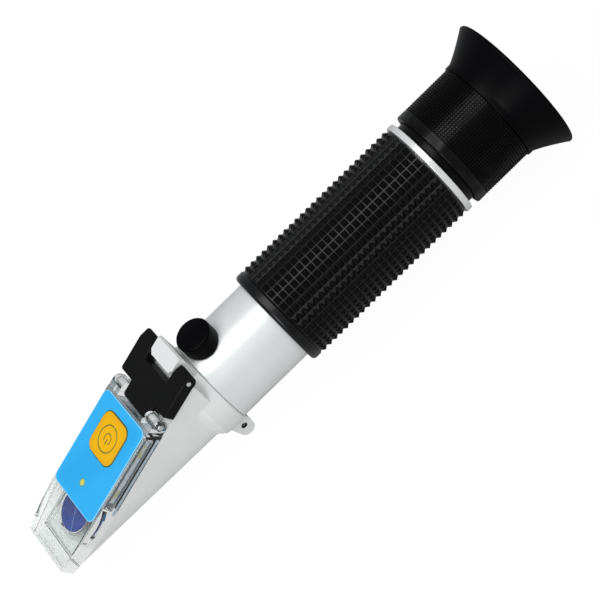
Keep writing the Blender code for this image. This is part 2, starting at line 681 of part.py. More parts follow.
def objective(axis, finishes):
    """The objective in its cell, with the seat on which the calibration screw bears."""
    bore = OBJECTIVE_RADIUS + FIT_GAP
    shoulder = OBJECTIVE_RADIUS - LENS_SHOULDER
    lens_middle = cell_end - OBJECTIVE_THICKNESS / 2 - FIT_GAP
    shoulder_end = lens_middle - lens_seat(OBJECTIVE_RADIUS, OBJECTIVE_THICKNESS, LENS_EDGE, shoulder)
    cell = piece("objective_cell", turned([
        (cell_start, shoulder), (cell_start, insert_radius), (cell_end, insert_radius), (cell_end, bore),
        (shoulder_end, bore), (shoulder_end, shoulder)], INNER_SIDES), axis, finishes["black paint"])
    cut(cell, piece("screw_seat_cutter", cylinder(
        SCREW_RADIUS + FIT_GAP, insert_radius - SCREW_SEAT_DEPTH, insert_radius + CUT_OVERRUN,
        SMALL_SIDES, "Z"), axis, None, (CALIBRATION_STATION, 0, 0)))
    profile = lens_profile(OBJECTIVE_RADIUS, OBJECTIVE_THICKNESS, LENS_EDGE)
    piece("objective_lens", turned(profile, INNER_SIDES), axis, finishes["optical glass"],
          (lens_middle, 0, 0))


def temperature_strip(axis, finishes):
    """A bowed two-metal strip under the light path, held at its rear by a block that fits the bore."""
    start = cell_end + FIT_GAP
    end = start + STRIP_LENGTH
    shares = np.linspace(0, 1, 9)
    foot = -STRIP_HEIGHT
    lower = [(start + STRIP_LENGTH * s, foot - STRIP_BOW * math.sin(math.pi * s)) for s in shares]
    upper = [(x, z + STRIP_THICKNESS) for x, z in reversed(lower)]
    piece("bimetal_strip", extruded(lower + upper, -STRIP_WIDTH / 2, STRIP_WIDTH / 2, "Y"), axis,
          finishes["brass"])
    stop = end + FIT_GAP
    front = stop - CLAMP_LENGTH
    rear = stop + CLAMP_STOP_LENGTH
    bed = foot - STRIP_BOW - FIT_GAP
    stop_top = foot + STRIP_THICKNESS + FIT_GAP
    half = CLAMP_WIDTH / 2
    outline = [(front, -tube_bore_radius), (rear, -tube_bore_radius), (rear, stop_top), (stop, stop_top),
               (stop, bed), (front, bed)]
    clamp = piece("strip_clamp", extruded(outline, -half, half, "Y"), axis, finishes["brass"])
    combine(clamp, piece("bore_guide", cylinder(
        insert_radius, front - CUT_OVERRUN, rear + CUT_OVERRUN, LARGE_SIDES), axis), "INTERSECT")


def reticle(axis, finishes):
    """The scale glass in its ring."""
    end = RETICLE_STATION + RETICLE_HOLDER_LENGTH
    bore = RETICLE_RADIUS + FIT_GAP
    seat_start = end - RETICLE_THICKNESS - 2 * FIT_GAP
    shoulder = RETICLE_RADIUS - LENS_SHOULDER
    piece("reticle_holder", turned([
        (RETICLE_STATION, shoulder), (RETICLE_STATION, insert_radius), (end, insert_radius), (end, bore),
        (seat_start, bore), (seat_start, shoulder)], INNER_SIDES), axis, finishes["black paint"])
    start = seat_start + FIT_GAP
    piece("reticle_disc", cylinder(RETICLE_RADIUS, start, start + RETICLE_THICKNESS, INNER_SIDES),
          axis, finishes["optical glass"])


def neck(axis, finishes):
    """The black neck: a spigot in the barrel and the threaded part on which the focus ring turns."""
    spigot_start = neck_start - NECK_SPIGOT_LENGTH
    bevel = COLLAR_BEVEL
    piece("neck_sleeve", turned([
        (spigot_start, NECK_BORE_RADIUS), (spigot_start, insert_radius), (neck_start, insert_radius),
        (neck_start, NECK_RADIUS), (neck_end - bevel, NECK_RADIUS), (neck_end, NECK_RADIUS - bevel),
        (neck_end, NECK_BORE_RADIUS)], INNER_SIDES), axis, finishes["black plastic"])


def lens_group(carrier, finishes):
    """The sliding carriage with the field lens in front and the eye lens behind, held by its ring."""
    outer = NECK_BORE_RADIUS - FIT_GAP
    inner = outer - CARRIAGE_WALL
    seat = inner - LENS_SHOULDER
    lens_radius = inner - FIT_GAP
    start = focus_start - carriage_flange_start
    flange_end = CARRIAGE_FLANGE_THICKNESS
    end = flange_end + CARRIAGE_TAIL
    flange_radius = FOCUS_RING_RADIUS - FOCUS_KNURL_DEPTH - FOCUS_RING_WALL - FIT_GAP
    ring_start = end - RETAINING_RING_WIDTH
    ring_bore = lens_radius - RETAINING_RING_WALL
    eye_middle = ring_start - lens_seat(lens_radius, EYE_LENS_THICKNESS, LENS_EDGE, ring_bore)
    eye_seat = eye_middle - lens_seat(lens_radius, EYE_LENS_THICKNESS, LENS_EDGE, seat)
    field_middle = start + FIT_GAP + FIELD_LENS_THICKNESS / 2
    field_seat = field_middle + lens_seat(lens_radius, FIELD_LENS_THICKNESS, LENS_EDGE, seat)
    piece("lens_carriage", turned([
        (start, inner), (start, outer), (0, outer), (0, flange_radius), (flange_end, flange_radius),
        (flange_end, outer), (end, outer), (end, inner), (eye_seat, inner), (eye_seat, seat),
        (field_seat, seat), (field_seat, inner)], INNER_SIDES), carrier, finishes["black plastic"])
    for name, middle, thickness in (("eye_lens", eye_middle, EYE_LENS_THICKNESS),
                                    ("field_lens", field_middle, FIELD_LENS_THICKNESS)):
        piece(name, turned(lens_profile(lens_radius, thickness, LENS_EDGE), INNER_SIDES), carrier,
              finishes["optical glass"], (middle, 0, 0))
    piece("eye_lens_ring", turned([
        (ring_start, ring_bore), (ring_start, lens_radius), (end, lens_radius), (end, ring_bore)],
        INNER_SIDES), carrier, finishes["black plastic"])


def focus_ring(carrier, finishes):
    """The knurled ring: upright ribs between two plain bands, and a web that traps the carriage's flange.

    The ribs' crests carry on the plain band in front of them, and their valleys lie half a step round.
    """
    start = focus_start - carriage_flange_start
    end = focus_end - carriage_flange_start
    web_start = focus_web_start - carriage_flange_start
    web_end = focus_web_end - carriage_flange_start
    crest = FOCUS_RING_RADIUS
    valley = crest - FOCUS_KNURL_DEPTH
    bore = valley - FOCUS_RING_WALL
    web_bore = NECK_BORE_RADIUS + FIT_GAP
    knurl_start = start + FOCUS_SMOOTH_BAND
    knurl_end = end - FOCUS_REAR_BAND
    bevel = FOCUS_EDGE_ROUND
    step = math.tau / FOCUS_RIBS
    shape = bmesh.new()

    def ring(x, radius, share=0):
        angles = [step * (rib + share) for rib in range(FOCUS_RIBS)]
        return [shape.verts.new((x, radius * math.sin(a), radius * math.cos(a))) for a in angles]

    front = [ring(x, radius) for x, radius in (
        (web_start, bore), (start, bore), (start, crest - bevel), (start + bevel, crest),
        (knurl_start, crest))]
    rear = [ring(x, radius) for x, radius in (
        (knurl_end, crest), (knurl_end, EYECUP_FOOT_RADIUS - bevel), (knurl_end + bevel, EYECUP_FOOT_RADIUS),
        (end - bevel, EYECUP_FOOT_RADIUS), (end, EYECUP_FOOT_RADIUS - bevel), (end, bore), (web_end, bore),
        (web_end, web_bore), (web_start, web_bore))]
    valleys = [ring(x, valley, 1 / 2) for x in (knurl_start, knurl_end)]
    for rib in range(FOCUS_RIBS):
        following = (rib + 1) % FOCUS_RIBS
        for rings in (front, rear, rear[-1:] + front[:1]):
            for first, second in zip(rings, rings[1:]):
                shape.faces.new((first[rib], first[following], second[following], second[rib]))
        near, far = valleys[0][rib], valleys[1][rib]
        for crests, low in ((front[-1], near), (rear[0], far)):
            shape.faces.new((crests[rib], crests[following], low))
        for side in (rib, following):
            shape.faces.new((front[-1][side], near, far, rear[0][side]))
    piece("focus_ring", shape, carrier, finishes["black plastic"])


def eyecup(carrier, finishes):
    """The soft cup: a plug that sits in the focus ring, then a wall that flares to a thin rolled rim."""
    base = eyecup_start - carriage_flange_start
    rim = rim_station - carriage_flange_start
    plug_start = carriage_flange_end - carriage_flange_start + FIT_GAP
    plug = FOCUS_RING_RADIUS - FOCUS_KNURL_DEPTH - FOCUS_RING_WALL - FIT_GAP
    floor = base + EYECUP_FLOOR
    outer_flare = []
    inner_flare = []
    inner_foot = EYECUP_FOOT_RADIUS - 2 * EYECUP_WALL
    inner_rim = EYECUP_RIM_RADIUS - EYECUP_RIM_WIDTH
    for share in np.linspace(0, 1, 4):
        sag = share ** EYECUP_FLARE_POWER
        outer_flare.append((base + (EYECUP_FLARE_LENGTH - EYECUP_RIM_HEIGHT) * share,
                            EYECUP_FOOT_RADIUS + (EYECUP_RIM_RADIUS - EYECUP_FOOT_RADIUS) * sag))
        inner_flare.append((floor + (rim - floor) * share, inner_foot + (inner_rim - inner_foot) * sag))
    lip = [(rim - EYECUP_RIM_HEIGHT / 3, EYECUP_RIM_RADIUS), (rim, EYECUP_RIM_RADIUS - EYECUP_RIM_HEIGHT / 3)]
    profile = [(plug_start, EYECUP_FLOOR_HOLE), (plug_start, plug), (base, plug)] + outer_flare + lip
    profile += inner_flare[::-1] + [(floor, EYECUP_FLOOR_HOLE)]
    piece("eyecup", turned(profile, LARGE_SIDES), carrier, finishes["black rubber"])


def link(hinge, finishes):
    """The black hinge plate: two arms round the casting's lug, and a tongue between the lid's knuckles."""
    half = LINK_WIDTH / 2
    slot = HINGE_LUG_WIDTH / 2 + FIT_GAP
    tongue = LINK_TONGUE_WIDTH / 2
    shoulder = LINK_SHOULDER_FROM_PIN - HINGE_SPAN
    corner = (shoulder + LINK_CORNER_RADIUS, half - LINK_CORNER_RADIUS)
    side = [(-HINGE_SPAN, tongue), (shoulder, tongue)] + arc(corner, LINK_CORNER_RADIUS, 180, 90, 2)
    side += [(PIN_RISE, half), (PIN_RISE, slot), (-LINK_NOTCH_DEPTH, slot)]
    outline = side + [(x, -y) for x, y in reversed(side)]
    plate = piece("hinge_link", extruded(outline, -PIN_RISE, PIN_RISE, "Z"), hinge, finishes["black paint"])
    combine(plate, piece("link_side_guide", extruded(
        link_profile(), -half - CUT_OVERRUN, half + CUT_OVERRUN, "Y"), hinge), "INTERSECT")
    edge = plate.modifiers.new("broken edges", "BEVEL")
    edge.width = LINK_EDGE_BEVEL
    edge.segments = 1
    edge.limit_method = "ANGLE"
    edge.angle_limit = math.radians(60)
    lower = (-HINGE_SPAN, 0, 0)
    join(plate, piece("tongue_guide", cross_pin(
        LINK_TONGUE_RADIUS, tongue - LINK_EDGE_BEVEL / 2, LINK_EDGE_BEVEL), hinge, None, lower))
    for name, place in (("upper_link_bore", (0, 0, 0)), ("lower_link_bore", lower)):
        cut(plate, piece(name, cross_pin(HINGE_PIN_RADIUS + FIT_GAP, LINK_WIDTH, HINGE_PIN_RADIUS / 2),
                         hinge, None, place))


def link_profile():
    """Side outline of the link, from its upper pin: a flat plate whose arms end in a round about the pin.

    The round clears the slope that the pin is set over. Behind its break the top runs level with the barrel.
    """
    radius = PIN_RISE - FIT_GAP
    under = min(LINK_UNDER_PIN, radius)
    front = -HINGE_SPAN - CUT_OVERRUN
    level = Vector((math.cos(slope), -math.sin(slope)))
    top_break = Vector((-LINK_TOP_BREAK, LINK_OVER_PIN))
    nearest = -top_break.dot(level)
    run = nearest + math.sqrt(radius ** 2 - top_break.length_squared + nearest ** 2)
    tail = top_break + run * level
    first = -90 - math.degrees(math.acos(under / radius))
    last = math.degrees(math.atan2(tail.y, tail.x))
    end = arc((0, 0), radius, first, last, 7)
    return [(front, -under)] + end + [tuple(top_break), (front, LINK_OVER_PIN)]


def hinge_pins(hinge, finishes):
    bevel = HINGE_PIN_RADIUS / 4
    for name, place in (("hinge_pin_upper", (0, 0, 0)), ("hinge_pin_lower", (-HINGE_SPAN, 0, 0))):
        length = LINK_WIDTH if name == "hinge_pin_upper" else 2 * LID_HALF_WIDTH
        piece(name, cross_pin(HINGE_PIN_RADIUS, length / 2, bevel), hinge, finishes["steel"], place)


def lid_half_width(along):
    """Half width of the lid: upright sides, then a nose that follows the round of the housing below it."""
    below_axis = min(0, face_height(along))
    return math.sqrt(LID_HALF_WIDTH ** 2 - below_axis ** 2)


def knuckle_outline():
    """Side outline of a knuckle: round below the pin, square-shouldered above it, and open to the lid."""
    root = -LID_REAR_GAP - 2 * ROOT_OVERLAP
    corner = (KNUCKLE_RADIUS - KNUCKLE_CORNER_RADIUS, KNUCKLE_TOP - KNUCKLE_CORNER_RADIUS)
    return ([(root, -KNUCKLE_RADIUS)] + arc((0, 0), KNUCKLE_RADIUS, -90, 0, 6)
            + arc(corner, KNUCKLE_CORNER_RADIUS, 0, 90, 5) + [(root, KNUCKLE_TOP)])


def lid(hinge, finishes):
    """The clear plate with its two knuckles, the open bay for the lamp unit and the filter's recess."""
    foot = FIT_GAP - PIN_RISE
    top = foot + LID_THICKNESS
    along = [-LID_REAR_GAP] + list(np.linspace(-lid_length / 2, -lid_length, 12))
    side = [(u, lid_half_width(u)) for u in along]
    outline = side + [(u, -half) for u, half in reversed(side)]
    shape = extruded(outline, foot, top, "Z")
    nose = [edge for edge in shape.edges
            if all(abs(v.co.x + lid_length) < FIT_GAP and v.co.z > 0 for v in edge.verts)]
    bmesh.ops.bevel(shape, geom=nose, offset=LID_FRONT_BEVEL, segments=2, affect="EDGES")
    plate = piece("lid_body", shape, hinge, finishes["clear plastic"])
    inner = LINK_TONGUE_WIDTH / 2 + FIT_GAP
    outer = LID_HALF_WIDTH - KNUCKLE_INSET
    for name, start, end in (("left_knuckle_guide", inner, outer), ("right_knuckle_guide", -outer, -inner)):
        join(plate, piece(name, extruded(knuckle_outline(), start, end, "Y"), hinge))
    bay = rounded_rectangle((-LID_REAR_GAP - BAY_REAR_WALL - BAY_LENGTH / 2, 0), BAY_LENGTH,
                            2 * (LID_HALF_WIDTH - BAY_SIDE_WALL), BAY_CORNER_RADIUS, 3)
    cut(plate, piece("bay_cutter", extruded(bay, foot + BAY_FLOOR, top + CUT_OVERRUN, "Z"), hinge))
    filter_place = (FILTER_FROM_FRONT - lid_length, 0, 0)
    cut(plate, piece("filter_recess_cutter", cylinder(
        FILTER_RADIUS + FIT_GAP, foot - CUT_OVERRUN, foot + FILTER_THICKNESS + FIT_GAP, INNER_SIDES, "Z"),
        hinge, None, filter_place))
    cut(plate, piece("lid_pin_bore", cross_pin(
        HINGE_PIN_RADIUS + FIT_GAP, LINK_WIDTH, HINGE_PIN_RADIUS / 2), hinge))
    piece("blue_filter", cylinder(FILTER_RADIUS, foot, foot + FILTER_THICKNESS, INNER_SIDES, "Z"), hinge,
          finishes["blue glass"], filter_place)
    return foot, top


def lamp_unit(hinge, finishes, foot, top):
    """Tray, cells, board, lamps and switch, stacked in the bay from its floor up."""
    middle = -LID_REAR_GAP - BAY_REAR_WALL - BAY_LENGTH / 2
    length = BAY_LENGTH - 2 * FIT_GAP
    width = 2 * (LID_HALF_WIDTH - BAY_SIDE_WALL - FIT_GAP)
    corner = BAY_CORNER_RADIUS - FIT_GAP
    tray_foot = foot + BAY_FLOOR + FIT_GAP
    tray_top = tray_foot + TRAY_THICKNESS
    lamp_space = LED_LENGTH + 2 * FIT_GAP
    tray_length = length - lamp_space
    tray_middle = middle + lamp_space / 2
    tray = piece("battery_tray", extruded(rounded_rectangle(
        (tray_middle, 0), tray_length, width, corner, 3), tray_foot, tray_top, "Z"), hinge,
        finishes["black plastic"])
    pitch = 2 * CELL_RADIUS + TRAY_RIB
    cell_foot = tray_foot + TRAY_FLOOR + FILM_GAP
    cell_top = cell_foot + CELL_THICKNESS
    edge = CELL_EDGE_ROUND
    for number, side in enumerate((-1, 1), 1):
        place = (tray_middle + side * pitch / 2, 0, 0)
        cut(tray, piece(f"cell_pocket_{number}", cylinder(
            CELL_RADIUS + FILM_GAP, tray_foot + TRAY_FLOOR, tray_top + CUT_OVERRUN, INNER_SIDES, "Z"),
            hinge, None, place))
        piece(f"button_cell_{number}", turned([
            (cell_foot, 0), (cell_foot, CELL_RADIUS - edge), (cell_foot + edge, CELL_RADIUS),
            (cell_top, CELL_RADIUS), (cell_top, 0)], INNER_SIDES, "Z"), hinge, finishes["steel"], place)
    board_foot = tray_top + FILM_GAP
    board_top = board_foot + BOARD_THICKNESS
    piece("circuit_board", extruded(rounded_rectangle((middle, 0), length, width, corner, 3),
                                    board_foot, board_top, "Z"), hinge, finishes["green board"])
    lamp_x = middle - length / 2 + LED_LENGTH / 2
    for number in range(LED_COUNT):
        y = (number - (LED_COUNT - 1) / 2) * LED_PITCH
        lamp = bmesh.new()
        bmesh.ops.create_cube(lamp, size=1)
        bmesh.ops.scale(lamp, verts=lamp.verts, vec=(LED_LENGTH, LED_WIDTH, LED_HEIGHT))
        piece(f"white_led_{number + 1}", lamp, hinge, finishes["white lamp"],
              (lamp_x, y, board_foot - FILM_GAP - LED_HEIGHT / 2))
    dome_foot = board_top + FILM_GAP
    pressed_key_foot = top - BUTTON_FLANGE_THICKNESS - BUTTON_TRAVEL
    crest = min(DOME_HEIGHT, pressed_key_foot - FILM_GAP - dome_foot)
    skirt = crest / 4
    dome = [(dome_foot, 0), (dome_foot, DOME_RADIUS)]
    dome += [(dome_foot + skirt + (crest - skirt) * (1 - share ** 2), DOME_RADIUS * share)
             for share in np.linspace(1, 0, 4)]
    piece("dome_switch", turned(dome, SMALL_SIDES, "Z"), hinge, finishes["steel"], (-BUTTON_FROM_PIN, 0, 0))


def label_and_key(hinge, finishes, top):
    """The blue film with its openings, the small indicator lens and the orange key under its own carrier."""
    label_foot = top + FILM_GAP
    label_top = label_foot + LABEL_THICKNESS
    middle = -LID_REAR_GAP - LABEL_REAR_MARGIN - LABEL_LENGTH / 2
    film = piece("light_label", extruded(rounded_rectangle(
        (middle, 0), LABEL_LENGTH, LABEL_WIDTH, LABEL_CORNER_RADIUS), label_foot, label_top, "Z"),
        hinge, finishes["blue film"])
    gap = FILM_GAP
    cut(film, piece("key_window_cutter", extruded(rounded_rectangle(
        (-BUTTON_FROM_PIN, 0), BUTTON_LENGTH + 2 * gap, BUTTON_WIDTH + 2 * gap, BUTTON_CORNER_RADIUS + gap),
        label_foot - CUT_OVERRUN, label_top + CUT_OVERRUN, "Z"), hinge))
    cut(film, piece("indicator_hole_cutter", cylinder(
        INDICATOR_RADIUS + gap, label_foot - CUT_OVERRUN, label_top + CUT_OVERRUN, SMALL_SIDES, "Z"),
        hinge, None, (-INDICATOR_FROM_PIN, 0, 0)))
    lens_top = label_top + INDICATOR_PROUD
    piece("indicator_lens", cylinder(
        INDICATOR_RADIUS, lens_top - INDICATOR_LENGTH, lens_top, SMALL_SIDES, "Z"),
        hinge, finishes["amber lens"], (-INDICATOR_FROM_PIN, 0, 0))
    carrier = pivot("key_carrier", (-BUTTON_FROM_PIN, 0, label_foot), hinge)
    key_top = LABEL_THICKNESS + BUTTON_PROUD
    key = piece("power_button", extruded(rounded_rectangle(
        (0, 0), BUTTON_LENGTH, BUTTON_WIDTH, BUTTON_CORNER_RADIUS), -FILM_GAP - BUTTON_FLANGE_THICKNESS / 2,
        key_top, "Z"), carrier, finishes["orange key"])
    join(key, piece("key_flange_guide", extruded(rounded_rectangle(
        (0, 0), BUTTON_LENGTH + 2 * BUTTON_FLANGE, BUTTON_WIDTH + 2 * BUTTON_FLANGE,
        BUTTON_CORNER_RADIUS + BUTTON_FLANGE), -FILM_GAP - BUTTON_FLANGE_THICKNESS, -FILM_GAP, "Z"), carrier))


def main():
    clear_scene()
    finishes = make_finishes()
    axis = pivot("optical_axis", axis_start)
    seat = housing(axis, finishes)
    prism_and_seal(axis, seat, finishes)
    barrel(axis, finishes)
    grip(axis, finishes)
    collar(axis, finishes)
    calibration(axis, finishes)
    objective(axis, finishes)
    temperature_strip(axis, finishes)
    reticle(axis, finishes)
    neck(axis, finishes)
    eyepiece = pivot("eyepiece", (carriage_flange_start, 0, 0), axis)
    lens_group(eyepiece, finishes)
    focus_ring(eyepiece, finishes)
    eyecup(eyepiece, finishes)
    link_hinge = pivot("link_hinge", (-UPPER_PIN_SETBACK, 0, UPPER_PIN_HEIGHT), axis, slope)
    link(link_hinge, finishes)
    hinge_pins(link_hinge, finishes)
    lid_hinge = pivot("lid_hinge", (-HINGE_SPAN, 0, 0), link_hinge)
    foot, top = lid(lid_hinge, finishes)
    lamp_unit(lid_hinge, finishes, foot, top)
    label_and_key(lid_hinge, finishes, top)


main()
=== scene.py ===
import json
import math

import bmesh
import bpy
import numpy as np
from mathutils import Matrix, Vector


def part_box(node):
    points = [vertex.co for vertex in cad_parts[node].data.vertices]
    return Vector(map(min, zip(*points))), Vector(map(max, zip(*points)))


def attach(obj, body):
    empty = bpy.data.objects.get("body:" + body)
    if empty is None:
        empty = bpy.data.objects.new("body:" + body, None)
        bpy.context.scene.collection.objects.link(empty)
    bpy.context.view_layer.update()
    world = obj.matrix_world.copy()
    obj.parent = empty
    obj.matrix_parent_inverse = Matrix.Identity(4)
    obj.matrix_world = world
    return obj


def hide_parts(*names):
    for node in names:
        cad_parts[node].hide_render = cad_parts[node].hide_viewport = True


# A handheld sugar refractometer, seen from its side and above on a white table.
# Lengths in the dictionaries are millimetres. Places on the barrel are measured from the joint between the
# casting and the barrel (x) and from the optical axis (y, z). Places on the slope are measured from a hinge pin.

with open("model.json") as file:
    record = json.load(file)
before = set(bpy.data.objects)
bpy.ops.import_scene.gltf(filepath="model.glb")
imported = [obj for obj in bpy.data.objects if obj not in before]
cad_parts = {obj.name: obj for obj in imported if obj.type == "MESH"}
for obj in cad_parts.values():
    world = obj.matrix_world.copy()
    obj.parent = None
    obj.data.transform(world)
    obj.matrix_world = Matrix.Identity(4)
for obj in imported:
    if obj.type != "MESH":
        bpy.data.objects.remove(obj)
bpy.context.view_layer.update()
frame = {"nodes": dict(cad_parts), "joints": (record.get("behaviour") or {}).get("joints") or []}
nodes = frame["nodes"]
print("frame loaded with", len(nodes), "nodes")

mm = 0.001
joints = {joint["name"]: joint for joint in frame["joints"]}
barrelLow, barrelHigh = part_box("main_tube")
barrelSize = {"start": 0.3, "shown": 0.1, "end": 77.1, "radius": 12.05, "bore": 10.25, "edge": 0.12}
origin = np.array([barrelLow.x - barrelSize["start"] * mm, 0, (barrelLow.z + barrelHigh.z) / 2])
slopeUp = np.array(joints["key_press"]["axis"], float)
slopeAlong = np.array([slopeUp[2], 0, -slopeUp[0]])
slopeAngle = math.atan2(slopeAlong[2], slopeAlong[0])
upperPin = np.array(joints["link_fold"]["pos_m"], float)
lowerPin = np.array(joints["lid_fold"]["pos_m"], float)


# Shader expressions.

class Signal:
    # A node's output that takes part in Python expressions. Each operator adds one Math node.
    def __init__(self, finish, socket):
        self.finish = finish
        self.socket = socket

    def maths(self, operation, first, second=0.0):
        return self.finish.node("ShaderNodeMath", {"operation": operation}, {0: first, 1: second})

    def __add__(self, other):
        return self.maths("ADD", self, other)

    def __radd__(self, other):
        return self.maths("ADD", other, self)

    def __sub__(self, other):
        return self.maths("SUBTRACT", self, other)

    def __rsub__(self, other):
        return self.maths("SUBTRACT", other, self)

    def __mul__(self, other):
        return self.maths("MULTIPLY", self, other)

    def __rmul__(self, other):
        return self.maths("MULTIPLY", other, self)

    def __abs__(self):
        return self.maths("ABSOLUTE", self)

    def upper(self, other):
        # The larger of the two.
        return self.maths("MAXIMUM", self, other)

    def root(self):
        # The square root.
        return self.maths("SQRT", self)

    def step(self, low, high):
        # Runs smoothly from 0 at low to 1 at high.
        return self.finish.node("ShaderNodeMapRange", {"interpolation_type": "SMOOTHSTEP"},
                                {"Value": self, "From Min": low, "From Max": high})

    def ramp(self, low, high):
        # The same step between two lengths in millimetres.
        return self.step(low * mm, high * mm)


class Nodes:
    # A node tree, and one method that adds every node to it.
    def __init__(self, tree):
        self.tree = tree

    def node(self, kind, settings=None, inputs=None, output=0):
        # Adds a node by its type, its settings and its inputs, and gives one of its outputs.
        added = self.tree.nodes.new(kind)
        for key, value in (settings or {}).items():
            setattr(added, key, value)
        for key, value in (inputs or {}).items():
            self.feed(added.inputs[key], value)
        return Signal(self, added.outputs[output])

    def feed(self, socket, value):
        # Links a signal to a socket, or sets the socket to a constant.
        if isinstance(value, Signal):
            self.tree.links.new(value.socket, socket)
        else:
            socket.default_value = value


class Finish(Nodes):
    # One material and its Principled shader.
    def __init__(self, name, constants):
        self.material = bpy.data.materials.new(name)
        self.material.use_nodes = True
        super().__init__(self.material.node_tree)
        self.shader = self.tree.nodes["Principled BSDF"]
        for key, value in constants.items():
            self.shader.inputs[key].default_value = value

    def place(self, centre=(0, 0, 0), turn=0.0, scale=(1, 1, 1)):
        # Object coordinates from a centre in metres, turned about Y so that X runs along the slope.
        where = self.node("ShaderNodeTexCoord", output=3)
        return self.node("ShaderNodeMapping", {"vector_type": "TEXTURE"},
                         {"Vector": where, "Location": tuple(centre), "Rotation": (0, turn, 0), "Scale": scale})

    def parts(self, vector):
        # A vector's three parts.
        split = self.node("ShaderNodeSeparateXYZ", inputs={"Vector": vector})
        return [Signal(self, out) for out in split.socket.node.outputs]

    def noise(self, vector, size, detail=3.0, roughness=0.55):
        # Noise whose grains are about size millimetres across.
        return self.node("ShaderNodeTexNoise", {"noise_dimensions": "3D"},
                         {"Vector": vector, "Scale": 1 / (size * mm), "Detail": detail, "Roughness": roughness})

    def blend(self, share, first, second):
        # The first colour where share is 0, the second where it is 1.
        ends = [(*end, 1) if isinstance(end, tuple) else end for end in (first, second)]
        return self.node("ShaderNodeMix", {"data_type": "RGBA"}, {"Factor": share, 6: ends[0], 7: ends[1]}, output=2)

    def relief(self, height, depth, strength=1.0):
        # depth is the relief's full height in millimetres.
        self.feed(self.shader.inputs["Normal"], self.node(
            "ShaderNodeBump", None, {"Height": height, "Distance": depth * mm, "Strength": strength}))

    def paint(self, **sockets):
        # Feeds the shader's sockets by short names.
        names = {"colour": "Base Color", "roughness": "Roughness", "metallic": "Metallic",
                 "coat": "Coat Weight", "alpha": "Alpha", "glow": "Emission Color"}
        for key, value in sockets.items():
            self.feed(self.shader.inputs[names[key]], value)

    def replaceWhere(self, share, other):
        # Another shader takes the Principled shader's place where share is 1.
        mixed = self.node("ShaderNodeMixShader", None,
                          {"Fac": share, 1: Signal(self, self.shader.outputs[0]), 2: other})
        self.feed(self.tree.nodes["Material Output"].inputs["Surface"], mixed)


def linear(red, green, blue):
    # A screen colour, from 0 to 255, as the linear light that a shader takes: a small share over 12.92, a larger
    # one plus 0.055, over 1.055, to the power 2.4.
    share = np.array([red, green, blue], float) / 255
    light = np.where(share <= 0.04045, share / 12.92, ((share + 0.055) / 1.055) ** 2.4)
    return tuple(float(value) for value in light)


# Finishes.

def shaded(colour, share, lift=0.0):
    # Each part of a colour times share, plus lift, at most 1.
    return tuple(min(1.0, share * part + lift) for part in colour)


# Kinds of surface. Fine is the grain's detail and roughness, drift the size, detail and roughness of slow spots. The
# shade adds up shares of the two and goes from the colour times first to the colour times second. Rough says which
# of the two moves the roughness, from low, over a span. Relief is its depth and strength.
kinds = {
    "cast": {"socket": "Metallic", "fine": (4.0, 0.6), "drift": (9.0, 2.0), "shade": {"drift": 0.6, "fine": 0.4},
             "first": 0.90, "second": 1.0, "rough": ("drift", -0.05, 0.12), "relief": (0.012, 0.35)},
    "brushed": {"socket": "Metallic", "fine": (3.0, 0.6), "stretch": (0.02, 1.0, 1.0), "drift": (9.0, 2.0),
                "shade": {"drift": 0.6, "fine": 0.4}, "first": 0.90, "second": 1.0,
                "rough": ("drift", -0.05, 0.12), "relief": (0.012, 0.35)},
    "rubber": {"socket": "Specular IOR Level", "fine": (3.0, 0.65), "drift": (2.6, 5.0, 0.7), "range": (0.56, 0.74),
               "shade": {"drift": 1.0}, "first": 1.0, "second": 1.0, "rough": ("fine", -0.06, 0.14),
               "relief": (0.02, 0.4), "coatRoughness": 0.28},
    "ring": {"socket": "Specular IOR Level", "fine": (2.0, 0.5), "drift": (3.0, 3.0, 0.6), "range": (0.35, 0.7),
             "shade": {"fine": 1.0}, "first": 1.0, "second": 1.18, "rough": ("fine", -0.03, 0.08),
             "relief": (0.02, 0.2), "coatRoughness": 0.16},
    "plastic": {"socket": "Specular IOR Level", "fine": (2.0, 0.5), "drift": (5.0, 2.0), "shade": {"drift": 1.0},
                "first": 1.0, "second": 1.18, "rough": ("drift", -0.05, 0.10), "relief": (0.02, 0.25)},
    "metal": {"socket": "Metallic", "fine": (3.0, 0.6), "stretch": (1.0, 1.0, 0.1), "drift": (5.0, 2.0),
              "shade": {"fine": 1.0}, "first": 0.82, "second": 1.0, "rough": ("fine", -0.05, 0.14),
              "relief": (0.01, 0.3)}}


def surface(name, kind, colour, level, roughness, grain, lift=0.0, coat=None):
    # An opaque surface of one of the kinds: level is how metallic it is, or its gloss. Lift brightens its second
    # colour. A coat function, if there is one, gives the shiny share from the finish and its slow spots.
    look = kinds[kind]
    finish = Finish(name, {look["socket"]: level})
    where = finish.place(origin, 0.0, look["stretch"]) if "stretch" in look else finish.place()
    signals = {"fine": finish.noise(where, grain, *look["fine"]),
               "drift": finish.noise(finish.place(), *look["drift"])}
    if "range" in look:
        signals["drift"] = signals["drift"].step(*look["range"])
    shade = sum(signals[key] * share for key, share in look["shade"].items())
    key, low, span = look["rough"]
    finish.paint(colour=finish.blend(shade, shaded(colour, look["first"]), shaded(colour, look["second"], lift)),
                 roughness=roughness + low + span * signals[key])
    if coat:
        finish.shader.inputs["Coat Roughness"].default_value = look["coatRoughness"]
        finish.paint(coat=coat(finish, signals["drift"]))
    finish.relief(signals["fine"], *look["relief"])
    return finish.material


def nearAxis(finish, low, high):
    # 1 where a point is nearer to the barrel's axis than low, 0 where it is farther than high, in millimetres. The
    # distance is the root of (y squared plus z squared).
    x, y, z = finish.parts(finish.place(origin))
    return 1 - (y * y + z * z).root().ramp(low, high)


